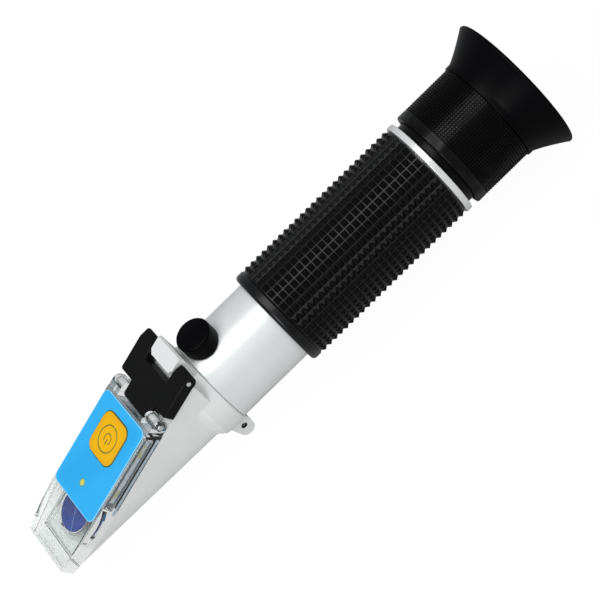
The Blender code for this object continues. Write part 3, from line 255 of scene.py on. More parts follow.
coatLook = {"floorFrom": 0.015, "floorTo": 0.06, "floor": 0.50, "spots": 0.25, "lip": 0.4, "lipFrom": -0.6,
            "lipTo": -0.3, "topFrom": -0.06, "topTo": -0.02, "top": 0.10, "wear": 0.25}


def gripCoat(finish, spots):
    # The smooth floors of the grip's grooves shine, by a share plus more on the spots, and its lip by a share.
    look = coatLook
    floor = gripSize["radius"] - gripSize["depth"]
    groove = nearAxis(finish, floor + look["floorFrom"], floor + look["floorTo"])
    x = finish.parts(finish.place(origin))[0]
    lip = 1 - x.ramp(gripSize["texture"] + look["lipFrom"], gripSize["texture"] + look["lipTo"])
    return (groove * (look["floor"] + look["spots"] * spots)).upper(lip * look["lip"])


def ringCoat(finish, wear):
    # The tops of the focus ring's studs are rubbed smooth: they shine by a share plus more with the wear.
    top = 1 - nearAxis(finish, focusSize["radius"] + coatLook["topFrom"], focusSize["radius"] + coatLook["topTo"])
    return top * (coatLook["top"] + coatLook["wear"] * wear)


clearLook = {"film": 7.0, "from": 0.45, "to": 0.85, "pale": 1.02, "grey": 0.78, "soft": 0.3}


def clearFinish(name, colour, ior, roughness, smudge, wall=None):
    # Clear glass or acrylic with a film of smudges. A shadow ray passes straight through, so what lies inside is
    # lit as in the open. The long edges, from wall mm off the middle, take a greyer colour, as painted shade.
    look = clearLook
    finish = Finish(name, {"Transmission Weight": 1.0, "IOR": ior, "Specular IOR Level": 0.5})
    film = finish.noise(finish.place(), look["film"], 4.0, 0.6).step(look["from"], look["to"])
    body = finish.blend(film, colour, shaded(colour, look["pale"]))
    if wall:
        # Painted shade: the long edges grey towards the sides.
        rim = abs(finish.parts(finish.place())[1]).ramp(wall - look["soft"], wall)
        body = finish.blend(rim, body, shaded(colour, look["grey"]))
    finish.paint(colour=body, roughness=roughness + smudge * film)
    straight = finish.node("ShaderNodeBsdfTransparent", None, {"Color": (*colour, 1)})
    finish.replaceWhere(finish.node("ShaderNodeLightPath", output=1), straight)
    return finish.material


def slopeParts(finish, middle=0.0):
    # A point's places along the slope, across it and above it, from middle millimetres beyond the lower pin.
    return finish.parts(finish.place(lowerPin + slopeAlong * middle * mm, -slopeAngle))


def outsideBox(u, y, length, width, corner):
    # Distance outside a rectangle with round corners: root of (qu squared + qy squared) - corner, where
    # q = |place| - (half size - corner), not below 0.
    qu = (abs(u) - (length / 2 - corner) * mm).upper(0.0)
    qy = (abs(y) - (width / 2 - corner) * mm).upper(0.0)
    return (qu * qu + qy * qy).root() - corner * mm


filmLook = {"blue": (45, 169, 231), "deep": (36, 157, 221), "pale": (150, 215, 245), "teal": (64, 142, 140),
            "under": (90, 160, 220), "edge": (0.10, 0.35), "edgeShare": 0.75, "line": (0.05, 0.26),
            "lineShare": 0.5, "lean": 0.55, "shift": 1.0, "paintedReflectionFrom": (-7.5, -1.0), "paintedReflectionTo": (2.0, 8.5),
            "inner": (0.6, 3.0), "paintedReflectionShare": 0.8, "grain": 0.4, "glow": 0.35}


def filmFinish(name):
    # Sky blue film: a thin pale edge, a teal line round the key and a faint darker sweep across its middle, between
    # two slanting lines, which is painted reflection. Its underside glows with painted light, for light that comes
    # through it.
    look = filmLook
    finish = Finish(name, {"Specular IOR Level": 0.22, "Emission Strength": look["glow"]})
    u, y, w = slopeParts(finish, filmSize["middle"])
    inward = -1 * outsideBox(u, y, filmSize["length"], filmSize["width"], filmSize["corner"])
    edge = 1 - inward.ramp(*look["edge"])
    toKey = outsideBox(u - (keySize["middle"] - filmSize["middle"]) * mm, y, keySize["length"] + 2 * keySize["gap"],
                       keySize["width"] + 2 * keySize["gap"], keySize["corner"] + keySize["gap"])
    outline = 1 - toKey.ramp(*look["line"])
    slant = u * look["lean"] + y + look["shift"] * mm
    # The sweep is a painted reflection: the film is darker between the two slanting lines.
    sweep = slant.ramp(*look["paintedReflectionFrom"]) * (1 - slant.ramp(*look["paintedReflectionTo"]))
    inner = inward.ramp(*look["inner"])
    grain = finish.noise(finish.place(), look["grain"], 2.0)
    body = finish.blend(sweep * inner * look["paintedReflectionShare"], linear(*look["blue"]), linear(*look["deep"]))
    body = finish.blend(edge * look["edgeShare"], body, linear(*look["pale"]))
    # Painted light: the underside glows blue, as if light came through the film.
    under = 1 - w.ramp(filmSize["low"] + 0.02, filmSize["low"] + filmSize["bevel"])
    finish.paint(colour=finish.blend(outline * look["lineShare"], body, linear(*look["teal"])),
                 roughness=0.36 + 0.08 * grain, glow=finish.blend(under, (0, 0, 0), linear(*look["under"])))
    finish.relief(grain, 0.01, 0.2)
    return finish.material


keyLook = {"orange": (230, 175, 2), "deep": (222, 163, 5), "olive": (112, 124, 62), "rim": (-2.2, -0.3),
           "rimShare": 0.6, "mottle": 0.2, "line": (-0.18, -0.04), "lineShare": 0.8, "grain": 0.5}


def keyFinish(name):
    # Orange key: a soft moulded gloss, a shade deeper near its rim, with an olive outline.
    look = keyLook
    finish = Finish(name, {"Specular IOR Level": 0.2})
    u, y, w = slopeParts(finish, keySize["middle"])
    off = outsideBox(u, y, keySize["length"], keySize["width"], keySize["corner"])
    rim = off.ramp(*look["rim"])
    outline = off.ramp(*look["line"])
    grain = finish.noise(finish.place(), look["grain"], 2.0)
    face = finish.blend(rim * look["rimShare"] + grain * look["mottle"], linear(*look["orange"]),
                        linear(*look["deep"]))
    finish.paint(colour=finish.blend(outline * look["lineShare"], face, linear(*look["olive"])),
                 roughness=0.40 + 0.08 * grain)
    finish.relief(grain, 0.015, 0.25)
    return finish.material


discLook = {"blue": (0, 56, 152), "deep": (0, 30, 100), "paintedHighlight": (150, 180, 225), "across": 0.6, "along": 0.3,
            "shift": 3.0, "depth": (-5.0, 8.0), "paintedShadeShare": 0.8, "off": 0.13, "lean": 0.557,
            "line": (0.05, 0.16), "lineShare": 0.55, "rim": 5.0, "rimShare": 0.3}


def filterFinish(name):
    # Blue glass disc: painted shade makes it deeper towards its upper edge and its rim, and a thin light line of
    # painted highlight runs along y = off + lean times u.
    look = discLook
    finish = Finish(name, {"Specular IOR Level": 0.1})
    u, y, w = slopeParts(finish, discSize["middle"])
    # Painted shade deepens the blue towards the upper edge and the rim. The line is a painted highlight.
    depth = (y * look["across"] + u * look["along"] + look["shift"] * mm).ramp(*look["depth"])
    line = 1 - abs(y - look["off"] * mm - u * look["lean"]).ramp(*look["line"])
    rim = (u * u + y * y).root().ramp(look["rim"], discSize["radius"])
    body = finish.blend(depth * look["paintedShadeShare"] + rim * look["rimShare"], linear(*look["blue"]),
                        linear(*look["deep"]))
    finish.paint(colour=finish.blend(line * look["lineShare"], body, linear(*look["paintedHighlight"])),
                 roughness=0.18 + 0.05 * finish.noise(finish.place(), 1.0))
    return finish.material


boardLook = {"half": 8.6, "soft": 0.05, "glow": 0.16, "blocks": 620.0, "dots": 900.0, "dot": (0.22, 0.32),
             "dotShade": 0.72, "chip": (0.62, 0.66), "chipColour": (0.42, 0.40, 0.12), "chipShare": 0.8}


def boardFinish(name, colour, dark, sides):
    # Circuit board or tray: a light body with a fine grid of dots. Its upright sides, from half off the middle, have
    # thin dark lines between the heights in sides, and yellow-green parts. Its colours glow faintly: painted light,
    # as if stray light from the white LEDs lit it inside the lid.
    look = boardLook
    finish = Finish(name, {"Specular IOR Level": 0.4, "Emission Strength": look["glow"]})
    u, y, w = slopeParts(finish)
    blocks = finish.node("ShaderNodeTexVoronoi", {"feature": "F1", "distance": "CHEBYCHEV"},
                         {"Vector": finish.place(lowerPin, -slopeAngle), "Scale": look["blocks"]}, output=1)
    red, green, blue = finish.parts(blocks)
    flat = finish.place(lowerPin, -slopeAngle, (1, 1, 1000.0))
    dots = finish.node("ShaderNodeTexVoronoi", {"feature": "F1"},
                       {"Vector": flat, "Scale": look["dots"], "Randomness": 0.0})
    low, high = sides
    soft = look["soft"]
    upright = abs(y).ramp(look["half"], look["half"] + soft)
    line = w.ramp(low - soft, low + soft) * (1 - w.ramp(high - soft, high + soft))
    chips = green.step(*look["chip"]) * upright
    dotted = finish.blend((1 - dots.step(*look["dot"])) * (1 - upright), colour, shaded(colour, look["dotShade"]))
    body = finish.blend(chips * look["chipShare"], dotted, look["chipColour"])
    shade = finish.blend(line * upright, body, dark)
    # glow=shade makes the painted light: the colours themselves glow.
    finish.paint(colour=shade, glow=shade, roughness=0.35 + 0.2 * red)
    finish.relief(chips, 0.05, 0.3)
    return finish.material


# Shapes.

def gridFaces(rows, columns, wrapRows=False, wrapColumns=True):
    # Quads of a grid of points, closed in either direction.
    row = np.arange(rows if wrapRows else rows - 1)[:, None]
    column = np.arange(columns if wrapColumns else columns - 1)[None, :]
    nextRow = (row + 1) % rows
    nextColumn = (column + 1) % columns
    return np.stack([row * columns + column, row * columns + nextColumn,
                     nextRow * columns + nextColumn, nextRow * columns + column], -1).reshape(-1, 4)


def filleted(corners, radii, steps=4, closed=True, hold=0.05):
    # Each corner becomes an arc tangent to both its sides. One more point stands a little way along each side, so
    # that a flat stays flat in smooth shading. A corner with no radius stays as it is.
    corners = np.array(corners, float)
    radii = np.broadcast_to(np.array(radii, float), (len(corners),))
    share = np.linspace(0, 1, steps + 1)[:, None]
    line = []
    for index, (corner, radius) in enumerate(zip(corners, radii)):
        if radius <= 0 or (not closed and index in (0, len(corners) - 1)):
            line.append(corner[None, :])
            continue
        back = corners[index - 1] - corner
        ahead = corners[(index + 1) % len(corners)] - corner
        back = back / np.linalg.norm(back)
        ahead = ahead / np.linalg.norm(ahead)
        half = math.acos(max(-1.0, min(1.0, float(back @ ahead)))) / 2
        reach = radius / math.tan(half)
        middle = corner + (back + ahead) / np.linalg.norm(back + ahead) * radius / math.sin(half)
        first = corner + back * reach - middle
        last = corner + ahead * reach - middle
        sweep = math.pi - 2 * half
        bend = (np.sin((1 - share) * sweep) * first + np.sin(share * sweep) * last) / math.sin(sweep)
        line += [(corner + back * (reach + hold))[None, :], middle + bend,
                 (corner + ahead * (reach + hold))[None, :]]
    return np.concatenate(line)


def roundedBox(length, width, radius, steps=8, centre=(0, 0), hold=0.05):
    # A rectangle with round corners, anticlockwise.
    a, b = length / 2, width / 2
    corners = np.array([(a, b), (-a, b), (-a, -b), (a, -b)]) + np.array(centre)
    return filleted(corners, radius, steps, True, hold)


def circle(radius, count=96, centre=(0, 0)):
    # Points at centre + radius times (cos a, sin a), with a in even steps.
    turn = np.linspace(0, 2 * np.pi, count, endpoint=False)
    return np.stack([centre[0] + radius * np.cos(turn), centre[1] + radius * np.sin(turn)], -1)


def inset(outline, distance):
    # Moves an anticlockwise outline inwards: each point goes along the mitre of its two sides, by the distance over
    # the cosine between the mitre and a side's normal.
    ahead = np.roll(outline, -1, 0) - outline
    back = outline - np.roll(outline, 1, 0)
    ahead /= np.linalg.norm(ahead, axis=1, keepdims=True)
    back /= np.linalg.norm(back, axis=1, keepdims=True)
    normal = np.stack([-ahead[:, 1] - back[:, 1], ahead[:, 0] + back[:, 0]], -1)
    normal /= np.linalg.norm(normal, axis=1, keepdims=True)
    mitre = np.maximum(0.35, -normal[:, 0] * ahead[:, 1] + normal[:, 1] * ahead[:, 0])
    return outline + normal * (distance / mitre)[:, None]


def edgeProfile(low, high, bevel, steps=3, hold=0.04):
    # Insets and heights of a plate's side: a quarter round at its foot, an upright side, a quarter round at its top.
    turn = np.linspace(0, np.pi / 2, steps + 1)
    insets = np.concatenate([[bevel + hold], bevel * (1 - np.sin(turn)), [0]])
    heights = np.concatenate([[low], low + bevel * (1 - np.cos(turn)), [low + bevel + hold]])
    return (np.concatenate([insets, insets[::-1]]),
            np.concatenate([heights, (low + high) - heights[::-1]]))


def stacked(outlines, heights):
    # The points of outlines one over the other, each at its own height.
    rings = np.stack(outlines)
    tall = np.broadcast_to(heights[:, None], rings.shape[:2])
    return np.concatenate([rings, tall[..., None]], -1).reshape(-1, 3)


def stackShape(outlines, heights):
    # Stacked outlines joined by their sides and closed by a flat face at the foot and at the top.
    count = len(outlines[0])
    foot = np.arange(count)[::-1]
    top = np.arange(count) + (len(outlines) - 1) * count
    return stacked(outlines, heights), [gridFaces(len(outlines), count), foot[None, :], top[None, :]]


def plateShape(outline, low, high, bevel, steps=3):
    # An edge profile carried round an outline.
    insets, heights = edgeProfile(low, high, bevel, steps)
    return stackShape([inset(outline, distance) for distance in insets], heights)


def frameShape(outer, inner, low, high, bevel, steps=3):
    # A plate with a window: the outer edge's profile up, then the window's profile down, as one closed loop that
    # is carried round both outlines.
    insets, heights = edgeProfile(low, high, bevel, steps)
    outlines = [inset(outer, distance) for distance in insets]
    outlines += [inset(inner, -distance) for distance in insets[::-1]]
    points = stacked(outlines, np.concatenate([heights, heights[::-1]]))
    return points, [gridFaces(len(outlines), len(outer), True)]


def turnedShape(profile, sides, axis="X", closed=True):
    # A profile of (along, radius) points turned round X or Z: y = r sin a, z = r cos a.
    along, radius = np.array(profile, float).T
    turn = np.linspace(0, 2 * np.pi, sides, endpoint=False)
    a = np.broadcast_to(along[:, None], (len(along), sides))
    b = radius[:, None] * np.sin(turn)
    c = radius[:, None] * np.cos(turn)
    points = np.stack([a, b, c], -1) if axis == "X" else np.stack([c, b, a], -1)
    return points.reshape(-1, 3), [gridFaces(len(along), sides, closed)]


def section(size, names):
    # A profile's corners, each from the names of two sizes: its place along the axis and its radius.
    return [tuple(size[key] for key in pair.split()) for pair in names.split(",")]


def onBarrel(shape, x=0.0):
    # A shape's points, millimetres from x on the optical axis, as metres in the frame.
    points, faces = shape
    return (points + np.array([x, 0, 0])) * mm + origin, faces


def onSlope(shape, pin=lowerPin, along=0.0):
    # A shape's points, millimetres along the slope, across it and above it from a pin, as metres in the frame.
    points, faces = shape
    return pin + mm * ((points[:, :1] + along) * slopeAlong + points[:, 1:2] * np.array([0, 1, 0])
                       + points[:, 2:] * slopeUp), faces


def standPiece(name, mesh, finish, body, stands, sharp):
    # Gives a mesh its shading and finish, and lets it ride on its body in place of the CAD nodes it stands for.
    mesh.shade_smooth()
    mesh.set_sharp_from_angle(angle=math.radians(sharp))
    mesh.materials.clear()
    mesh.materials.append(finish)
    piece = bpy.data.objects.new(name, mesh)
    bpy.context.scene.collection.objects.link(piece)
    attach(piece, body)
    if stands:
        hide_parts(*stands)
    return piece


def makePiece(name, shape, finish, body, stands=(), sharp=32):
    # Puts a shape's points and faces into a mesh, closes its seams and turns its faces outwards.
    points, faces = shape
    mesh = bpy.data.meshes.new(name)
    sizes = np.concatenate([np.full(len(block), block.shape[1]) for block in faces])
    mesh.vertices.add(len(points))
    mesh.vertices.foreach_set("co", np.asarray(points, np.float32).ravel())
    mesh.loops.add(int(sizes.sum()))
    mesh.loops.foreach_set("vertex_index", np.concatenate([block.ravel() for block in faces]).astype(np.int32))
    mesh.polygons.add(len(sizes))
    mesh.polygons.foreach_set("loop_start", np.concatenate([[0], np.cumsum(sizes)[:-1]]).astype(np.int32))
    mesh.update(calc_edges=True)
    shape = bmesh.new()
    shape.from_mesh(mesh)
    bmesh.ops.remove_doubles(shape, verts=shape.verts, dist=0.001 * mm)
    bmesh.ops.recalc_face_normals(shape, faces=shape.faces)
    shape.to_mesh(mesh)
    shape.free()
    return standPiece(name, mesh, finish, body, stands, sharp)


def makeTurned(name, profile, sides, finish, body, stands, x=0.0, axis="X", closed=True):
    # A profile turned round the barrel's axis, or round an upright axis at x.
    shape = onBarrel(turnedShape(profile, sides, axis, closed), x)
    return makePiece(name, shape, finish, body, [stands])


def cellMarks(count, marks):
    # The same marks in each of count cells: cell number plus mark.
    return (np.arange(count)[:, None] + np.array(marks)).ravel()


def ringGrid(front, x, radius, rear, turn):
    # Points (x, r sin a, r cos a) and quads round the barrel's axis. Between the profiles of the front and the rear,
    # which are the same all round, radius gives each point's own r.
    x = np.concatenate([front[:, 0], x, rear[:, 0]])[:, None]
    radius = np.concatenate([np.repeat(front[:, 1:], len(turn), 1), radius, np.repeat(rear[:, 1:], len(turn), 1)])
    points = np.stack([np.repeat(x, len(turn), 1), radius * np.sin(turn), radius * np.cos(turn)], -1)
    return points.reshape(-1, 3), gridFaces(len(x), len(turn), True)


def several(*shapes):
    # Several shapes as one: their points in a row, and each one's faces moved on by the points before it.
    points, faces, before = [], [], 0
    for shapePoints, shapeFaces in shapes:
        points.append(shapePoints)
        faces += [block + before for block in shapeFaces]
        before += len(shapePoints)
    return np.concatenate(points), faces


def softenedCopy(name, node, finish, body, bevel, sharp=30):
    # A merged copy of a CAD node: flats become whole faces again, and its edges get a fine round.
    shape = bmesh.new()
    shape.from_mesh(nodes[node].data)
    bmesh.ops.remove_doubles(shape, verts=shape.verts, dist=0.002 * mm)
    bmesh.ops.dissolve_limit(shape, angle_limit=math.radians(0.8), verts=shape.verts, edges=shape.edges)
    bmesh.ops.recalc_face_normals(shape, faces=shape.faces)
    mesh = bpy.data.meshes.new(name)
    shape.to_mesh(mesh)
    shape.free()
    piece = standPiece(name, mesh, finish, body, [node], sharp)
    if bevel:
        edge = piece.modifiers.new("edge", "BEVEL")
        edge.width = bevel * mm
        edge.segments = 2
        edge.limit_method = "ANGLE"
        edge.angle_limit = math.radians(sharp)
        edge.harden_normals = True
        edge.use_clamp_overlap = True
    return piece


# Barrel, collar and neck.

tubeSilver = surface("tubeSilver", "brushed", (0.80, 0.815, 0.805), 0.30, 0.30, 0.35)
castSilver = surface("castSilver", "cast", (0.78, 0.79, 0.775), 0.15, 0.45, 0.22)
collarSilver = surface("collarSilver", "brushed", (0.80, 0.80, 0.79), 0.35, 0.30, 0.30)
cupRubber = surface("cupRubber", "rubber", (0.0010, 0.0010, 0.0014), 0.05, 0.34, 0.16, 0.0008)
sealRubber = surface("sealRubber", "rubber", (0.55, 0.56, 0.56), 0.3, 0.5, 0.2, 0.05)
blackPlastic = surface("blackPlastic", "plastic", (0.0014, 0.0013, 0.0015), 0.12, 0.26, 0.5, 0.0005)
# Black paint, which also makes the eyelet's painted shade.
blackPaintAndShade = surface("blackPaintAndShade", "plastic", (0.0032, 0.0032, 0.0032), 0.10, 0.42, 0.3, 0.0005)
steel = surface("steel", "metal", (0.70, 0.70, 0.70), 1.0, 0.25, 0.15)
pinSteel = surface("pinSteel", "metal", (0.80, 0.81, 0.82), 1.0, 0.42, 0.15)
brass = surface("brass", "metal", (0.66, 0.48, 0.20), 1.0, 0.30, 0.15)
opticalGlass = clearFinish("opticalGlass", (0.97, 0.985, 0.98), 1.5, 0.0, 0.02)
clearPlastic = clearFinish("clearPlastic", (0.87, 0.885, 0.88), 1.49, 0.03, 0.06, wall=9.8)

makeTurned("barrelTube", filleted(section(barrelSize, "shown bore, shown radius, end radius, end bore"),
                                  [0, barrelSize["edge"], 0, 0]),
           160, tubeSilver, "body", "main_tube")

collarSize = {"start": 75.4, "end": 77.1, "bore": 12.35, "radius": 14.45, "edge": 0.25}
makeTurned("collarBand", filleted(section(collarSize, "start bore, start radius, end radius, end bore"),
                                  [0, collarSize["edge"], collarSize["edge"], 0]),
           160, collarSilver, "body", "collar_ring")

neckSize = {"spigot": 63.4, "shoulder": 77.4, "end": 90.2, "fit": 9.95, "radius": 12.8, "bore": 8.6, "edge": 0.2}
makeTurned("neckTube", filleted(section(neckSize, "spigot bore, spigot fit, shoulder fit, shoulder radius,"
                                                  "end radius, end bore"),
                                [0, 0, 0, neckSize["edge"], neckSize["edge"], 0]),
           128, blackPlastic, "body", "neck_sleeve")
print("barrel, collar and neck made")


# Rubber grip.

gripSize = {"start": 22.1, "bore": 12.35, "lipRadius": 14.2, "lipEnd": 24.6, "texture": 25.2, "length": 49.6,
            "rows": 26, "columns": 40, "radius": 14.4, "depth": 0.6, "valley": 0.05, "tip": 0.04, "band": 0.3}


def gripShape(size):
    # Radius over a grid of stations and angles. In each cell the surface rises from flat valleys at its border to a
    # small flat tip in its middle, as a pyramid: height = (0.5 - the larger distance from the middle - valley)
    # over (0.5 - tip - valley), held between 0 and 1. A round lip leads in, and a plain band ends it.
    marks = np.array([0, size["valley"], 0.5 - size["tip"], 0.5 + size["tip"], 1 - size["valley"]])
    alongCells, roundCells = cellMarks(size["rows"], marks), cellMarks(size["columns"], marks)
    offMiddle = np.maximum(abs(alongCells % 1 - 0.5)[:, None], abs(roundCells % 1 - 0.5)[None, :])
    rise = np.clip((0.5 - offMiddle - size["valley"]) / (0.5 - size["tip"] - size["valley"]), 0, 1)
    low = size["radius"] - size["depth"]
    cellX = size["texture"] + alongCells * size["length"] / size["rows"]
    end = size["texture"] + size["length"]
    half = (size["lipRadius"] - size["bore"]) / 2
    lip = filleted([(size["start"] + half, size["bore"]), (size["start"], size["bore"]),
                    (size["start"], size["lipRadius"]), (size["lipEnd"], size["lipRadius"]),
                    (size["texture"] - 0.15, low), (size["texture"] - 0.1, low)],
                   [0, half * 0.6, half * 1.2, 0.35, 0.2, 0], 7, False, 0.02)
    tail = np.array([(end, low), (end + size["band"] - 0.15, low), (end + size["band"], low - 0.15),
                     (end + size["band"], size["bore"])])
    turn = roundCells / size["columns"] * 2 * np.pi
    points, quads = ringGrid(lip, cellX, low + size["depth"] * rise, tail, turn)
    # Each cell's four sloping corners are split along the pyramid's ridges.
    row = np.arange(len(quads) // len(turn))[:, None] - len(lip)
    column = np.arange(len(turn))[None, :]
    leaning = ((row % 5 == 1) & (column % 5 == 3)) | ((row % 5 == 3) & (column % 5 == 1))
    split = leaning.ravel()
    one = np.where(split[:, None], quads[:, [0, 1, 3]], quads[:, [0, 1, 2]])
    two = np.where(split[:, None], quads[:, [1, 2, 3]], quads[:, [0, 2, 3]])
    return points, [one, two]


gripRubber = surface("gripRubber", "rubber", (0.0012, 0.0012, 0.0015), 0.10, 0.30, 0.12, 0.0012, gripCoat)
makePiece("gripSleeve", onBarrel(gripShape(gripSize)), gripRubber, "body", ["rubber_grip"], 24)
print("grip made")


# Focus ring and eyecup.

focusSize = {"start": 79.2, "end": 97.5, "radius": 14.6, "step": 13.6, "bore": 13.1, "knurlStart": 82.0,
             "knurlEnd": 96.3, "rows": 20, "columns": 112, "depth": 0.32, "webStart": 92.8, "webEnd": 94.3,
             "webBore": 8.9, "marks": (0, 0.30, 0.42, 0.88), "heights": (0, 0, 1, 1)}


def focusShape(size):
    # Radius over a grid of stations and angles: square studs, each the smaller of one trapezium along the ring and
    # one round it, whose heights are given at the marks of a cell. A plain band lies in front, and behind it a step
    # that the eyecup's skirt covers.
    alongCells, roundCells = cellMarks(size["rows"], size["marks"]), cellMarks(size["columns"], size["marks"])
    rise = np.minimum(np.tile(size["heights"], size["rows"])[:, None],
                      np.tile(size["heights"], size["columns"])[None, :])
    low = size["radius"] - size["depth"]
    pitch = (size["knurlEnd"] - size["knurlStart"]) / size["rows"]
    front = filleted([(size["webStart"], size["bore"]), (size["start"], size["bore"]),
                      (size["start"], size["radius"]), (size["knurlStart"] - 0.1, size["radius"]),
                      (size["knurlStart"], low)], [0, 0.2, 0.35, 0.08, 0], 4, False)
    rear = np.array([(size["knurlEnd"], low)] + section(
        size, "knurlEnd step, end step, end bore, webEnd bore, webEnd webBore, webStart webBore"))
    turn = roundCells / size["columns"] * 2 * np.pi
    points, quads = ringGrid(front, size["knurlStart"] + alongCells * pitch, low + size["depth"] * rise, rear, turn)
    return points, [quads]


ringPlastic = surface("ringPlastic", "ring", (0.0014, 0.0013, 0.0015), 0.07, 0.28, 0.5, 0.0005, ringCoat)
makePiece("focusGrip", onBarrel(focusShape(focusSize)), ringPlastic, "focus", ["focus_ring"])

cupSize = {"plugStart": 96.1, "plug": 12.8, "skirt": 96.42, "skirtBore": 13.8, "base": 97.8, "floor": 98.7,
           "hole": 8.9, "foot": 15.0, "innerFoot": 11.6, "rimX": 107.0, "rimRadius": 19.8, "bead": 0.6,
           "power": 1.15, "outerSide": (-0.75, 0.66), "innerSide": (-0.10, -0.995)}


def cupProfile(size):
    # A skirt covers the ring's rear step. The outer wall leaves the foot almost straight and flares: its radius grows
    # with share to the given power. A round bead ends it, from its outer side to its inner side, and the inner wall
    # runs back to the floor.
    share = np.linspace(0, 1, 26)[:, None]
    bead = size["bead"]
    middle = np.array([size["rimX"] - bead, size["rimRadius"] - bead])
    outerEnd = middle + bead * np.array(size["outerSide"])
    innerEnd = middle + bead * np.array(size["innerSide"])
    outer = np.hstack([size["base"] + (outerEnd[0] - size["base"]) * share,
                       size["foot"] + (outerEnd[1] - size["foot"]) * share ** size["power"]])
    inner = np.hstack([size["floor"] + 0.4 + (innerEnd[0] - size["floor"] - 0.4) * share,
                       size["innerFoot"] + 0.2 + (innerEnd[1] - size["innerFoot"] - 0.2) * share ** size["power"]])
    ends = [math.atan2(*side[::-1]) for side in (size["outerSide"], size["innerSide"])]
    turn = np.linspace(*ends, 14)[1:-1, None]
    roll = middle + bead * np.hstack([np.cos(turn), np.sin(turn)])
    plug = np.array([(size["plugStart"], size["hole"]), (size["plugStart"], size["plug"] - 0.2),
                     (size["plugStart"] + 0.2, size["plug"]), (size["base"] - 0.02, size["plug"]),
                     (size["base"], size["plug"] + 0.05), (size["base"], size["skirtBore"]),
                     (size["skirt"], size["skirtBore"]), (size["skirt"], size["foot"] - 0.2),
                     (size["skirt"] + 0.06, size["foot"] - 0.06), (size["skirt"] + 0.2, size["foot"])])
    floor = np.array([(size["floor"] + 0.1, size["innerFoot"] - 0.1), (size["floor"], size["innerFoot"] - 0.5),
                      (size["floor"], size["hole"] + 0.15), (size["floor"] - 0.15, size["hole"])])
    return np.concatenate([plug, outer + np.array([0.02, 0]), roll, inner[::-1], floor])


makeTurned("eyeCup", cupProfile(cupSize), 192, cupRubber, "focus", "eyecup")
print("focus ring and eyecup made")


# Lens carriage, seen through the eyecup.

carriageSize = {"start": 79.2, "flange": 94.6, "flangeEnd": 95.8, "end": 97.4, "outer": 8.3, "inner": 7.0,
                "seat": 5.8, "flangeRadius": 12.8, "lensRadius": 6.7, "ringBore": 5.7, "ringWidth": 0.8,
                "fieldLens": 2.6, "eyeLens": 3.0, "lensEdge": 1.2, "fit": 0.3}


def lensProfile(radius, thickness, edge, steps=16):
    # Half section of a lens: both faces bulge as a parabola.
    height = np.linspace(0, radius, steps)
    front = (thickness - edge) / 2 * (height / radius) ** 2 - thickness / 2
    return np.concatenate([np.stack([front, height], -1), np.stack([-front, height], -1)[::-1]])


def lensSeat(size, thickness, shoulder):
    # From a lens's middle to the shoulder of that radius that it rests on: half its thickness less its bulge times
    # (shoulder over radius) squared, plus the fit.
    bulge = (thickness - size["lensEdge"]) / 2
    return thickness / 2 - bulge * (shoulder / size["lensRadius"]) ** 2 + size["fit"]


carriageSize["ringStart"] = carriageSize["end"] - carriageSize["ringWidth"]
eyeMiddle = carriageSize["ringStart"] - lensSeat(carriageSize, carriageSize["eyeLens"], carriageSize["ringBore"])
carriageSize["eyeSeat"] = eyeMiddle - lensSeat(carriageSize, carriageSize["eyeLens"], carriageSize["seat"])
fieldMiddle = carriageSize["start"] + carriageSize["fit"] + carriageSize["fieldLens"] / 2
carriageSize["fieldSeat"] = fieldMiddle + lensSeat(carriageSize, carriageSize["fieldLens"], carriageSize["seat"])
slideCorners = section(carriageSize, "start inner, start outer, flange outer, flange flangeRadius,"
                                     "flangeEnd flangeRadius, flangeEnd outer, end outer, end inner,"
                                     "eyeSeat inner, eyeSeat seat, fieldSeat seat, fieldSeat inner")
makeTurned("lensSlide", filleted(slideCorners, [0, 0.1, 0, 0.1, 0.1, 0, 0.2, 0.1, 0, 0, 0, 0]), 96, blackPlastic,
           "lens_carriage", "lens_carriage")
makeTurned("eyeLens", lensProfile(carriageSize["lensRadius"], carriageSize["eyeLens"], carriageSize["lensEdge"]), 96,
           opticalGlass, "lens_carriage", "eye_lens", x=eyeMiddle, closed=False)
makeTurned("eyeLensRing", filleted(section(carriageSize, "ringStart ringBore, ringStart lensRadius,"
                                                         "end lensRadius, end ringBore"), [0, 0, 0.1, 0.2]),
           96, blackPlastic, "lens_carriage", "eye_lens_ring")
print("eyepiece made")


# Calibration cap, bush and screw.

capSize = {"x": 5.4, "radius": 4.75, "top": 17.2, "dome": 0.4, "round": 0.6, "inside": 3.9, "roof": 16.2,
           "barrel": 12.35, "skirt": ((0, 0.35), (0, 0.15), (0.05, 0.04), (0.15, 0))}


def capShape(size, sides=96):
    # A round cap turned about an upright axis. Its lower edge follows the barrel: z = root of (R squared - y
    # squared), where y = r sin a. Skirt gives how far in and how high over the barrel its last rows are.
    edge = size["top"] - size["dome"]
    share = np.linspace(0, 1, 9)[:-1]
    inner = size["radius"] - size["round"]
    dome = np.stack([inner * share, edge + size["dome"] * (1 - share ** 2)], -1)
    turn = np.linspace(np.pi / 2, 0, 8)
    corner = np.stack([inner + size["round"] * np.cos(turn), edge - size["round"] + size["round"] * np.sin(turn)], -1)
    angle = np.linspace(0, 2 * np.pi, sides, endpoint=False)

    def foot(radius, lift):
        return np.sqrt(size["barrel"] ** 2 - (radius * np.sin(angle)) ** 2) + lift

    rows = [(r, np.full(sides, z)) for r, z in np.concatenate([dome, corner])]
    rows += [(size["radius"] - far, foot(size["radius"], lift)) for far, lift in size["skirt"]]
    rows += [(size["inside"], foot(size["inside"], 0))]
    rows += [(r, np.full(sides, size["roof"])) for r in (size["inside"], 0.0)]
    radius = np.array([r for r, z in rows])[:, None]
    points = np.stack([radius * np.cos(angle), radius * np.sin(angle), np.stack([z for r, z in rows])], -1)
    return points.reshape(-1, 3), [gridFaces(len(rows), sides)]


makePiece("screwCap", onBarrel(capShape(capSize), capSize["x"]), cupRubber, "calibration_cap",
          ["calibration_cap"])

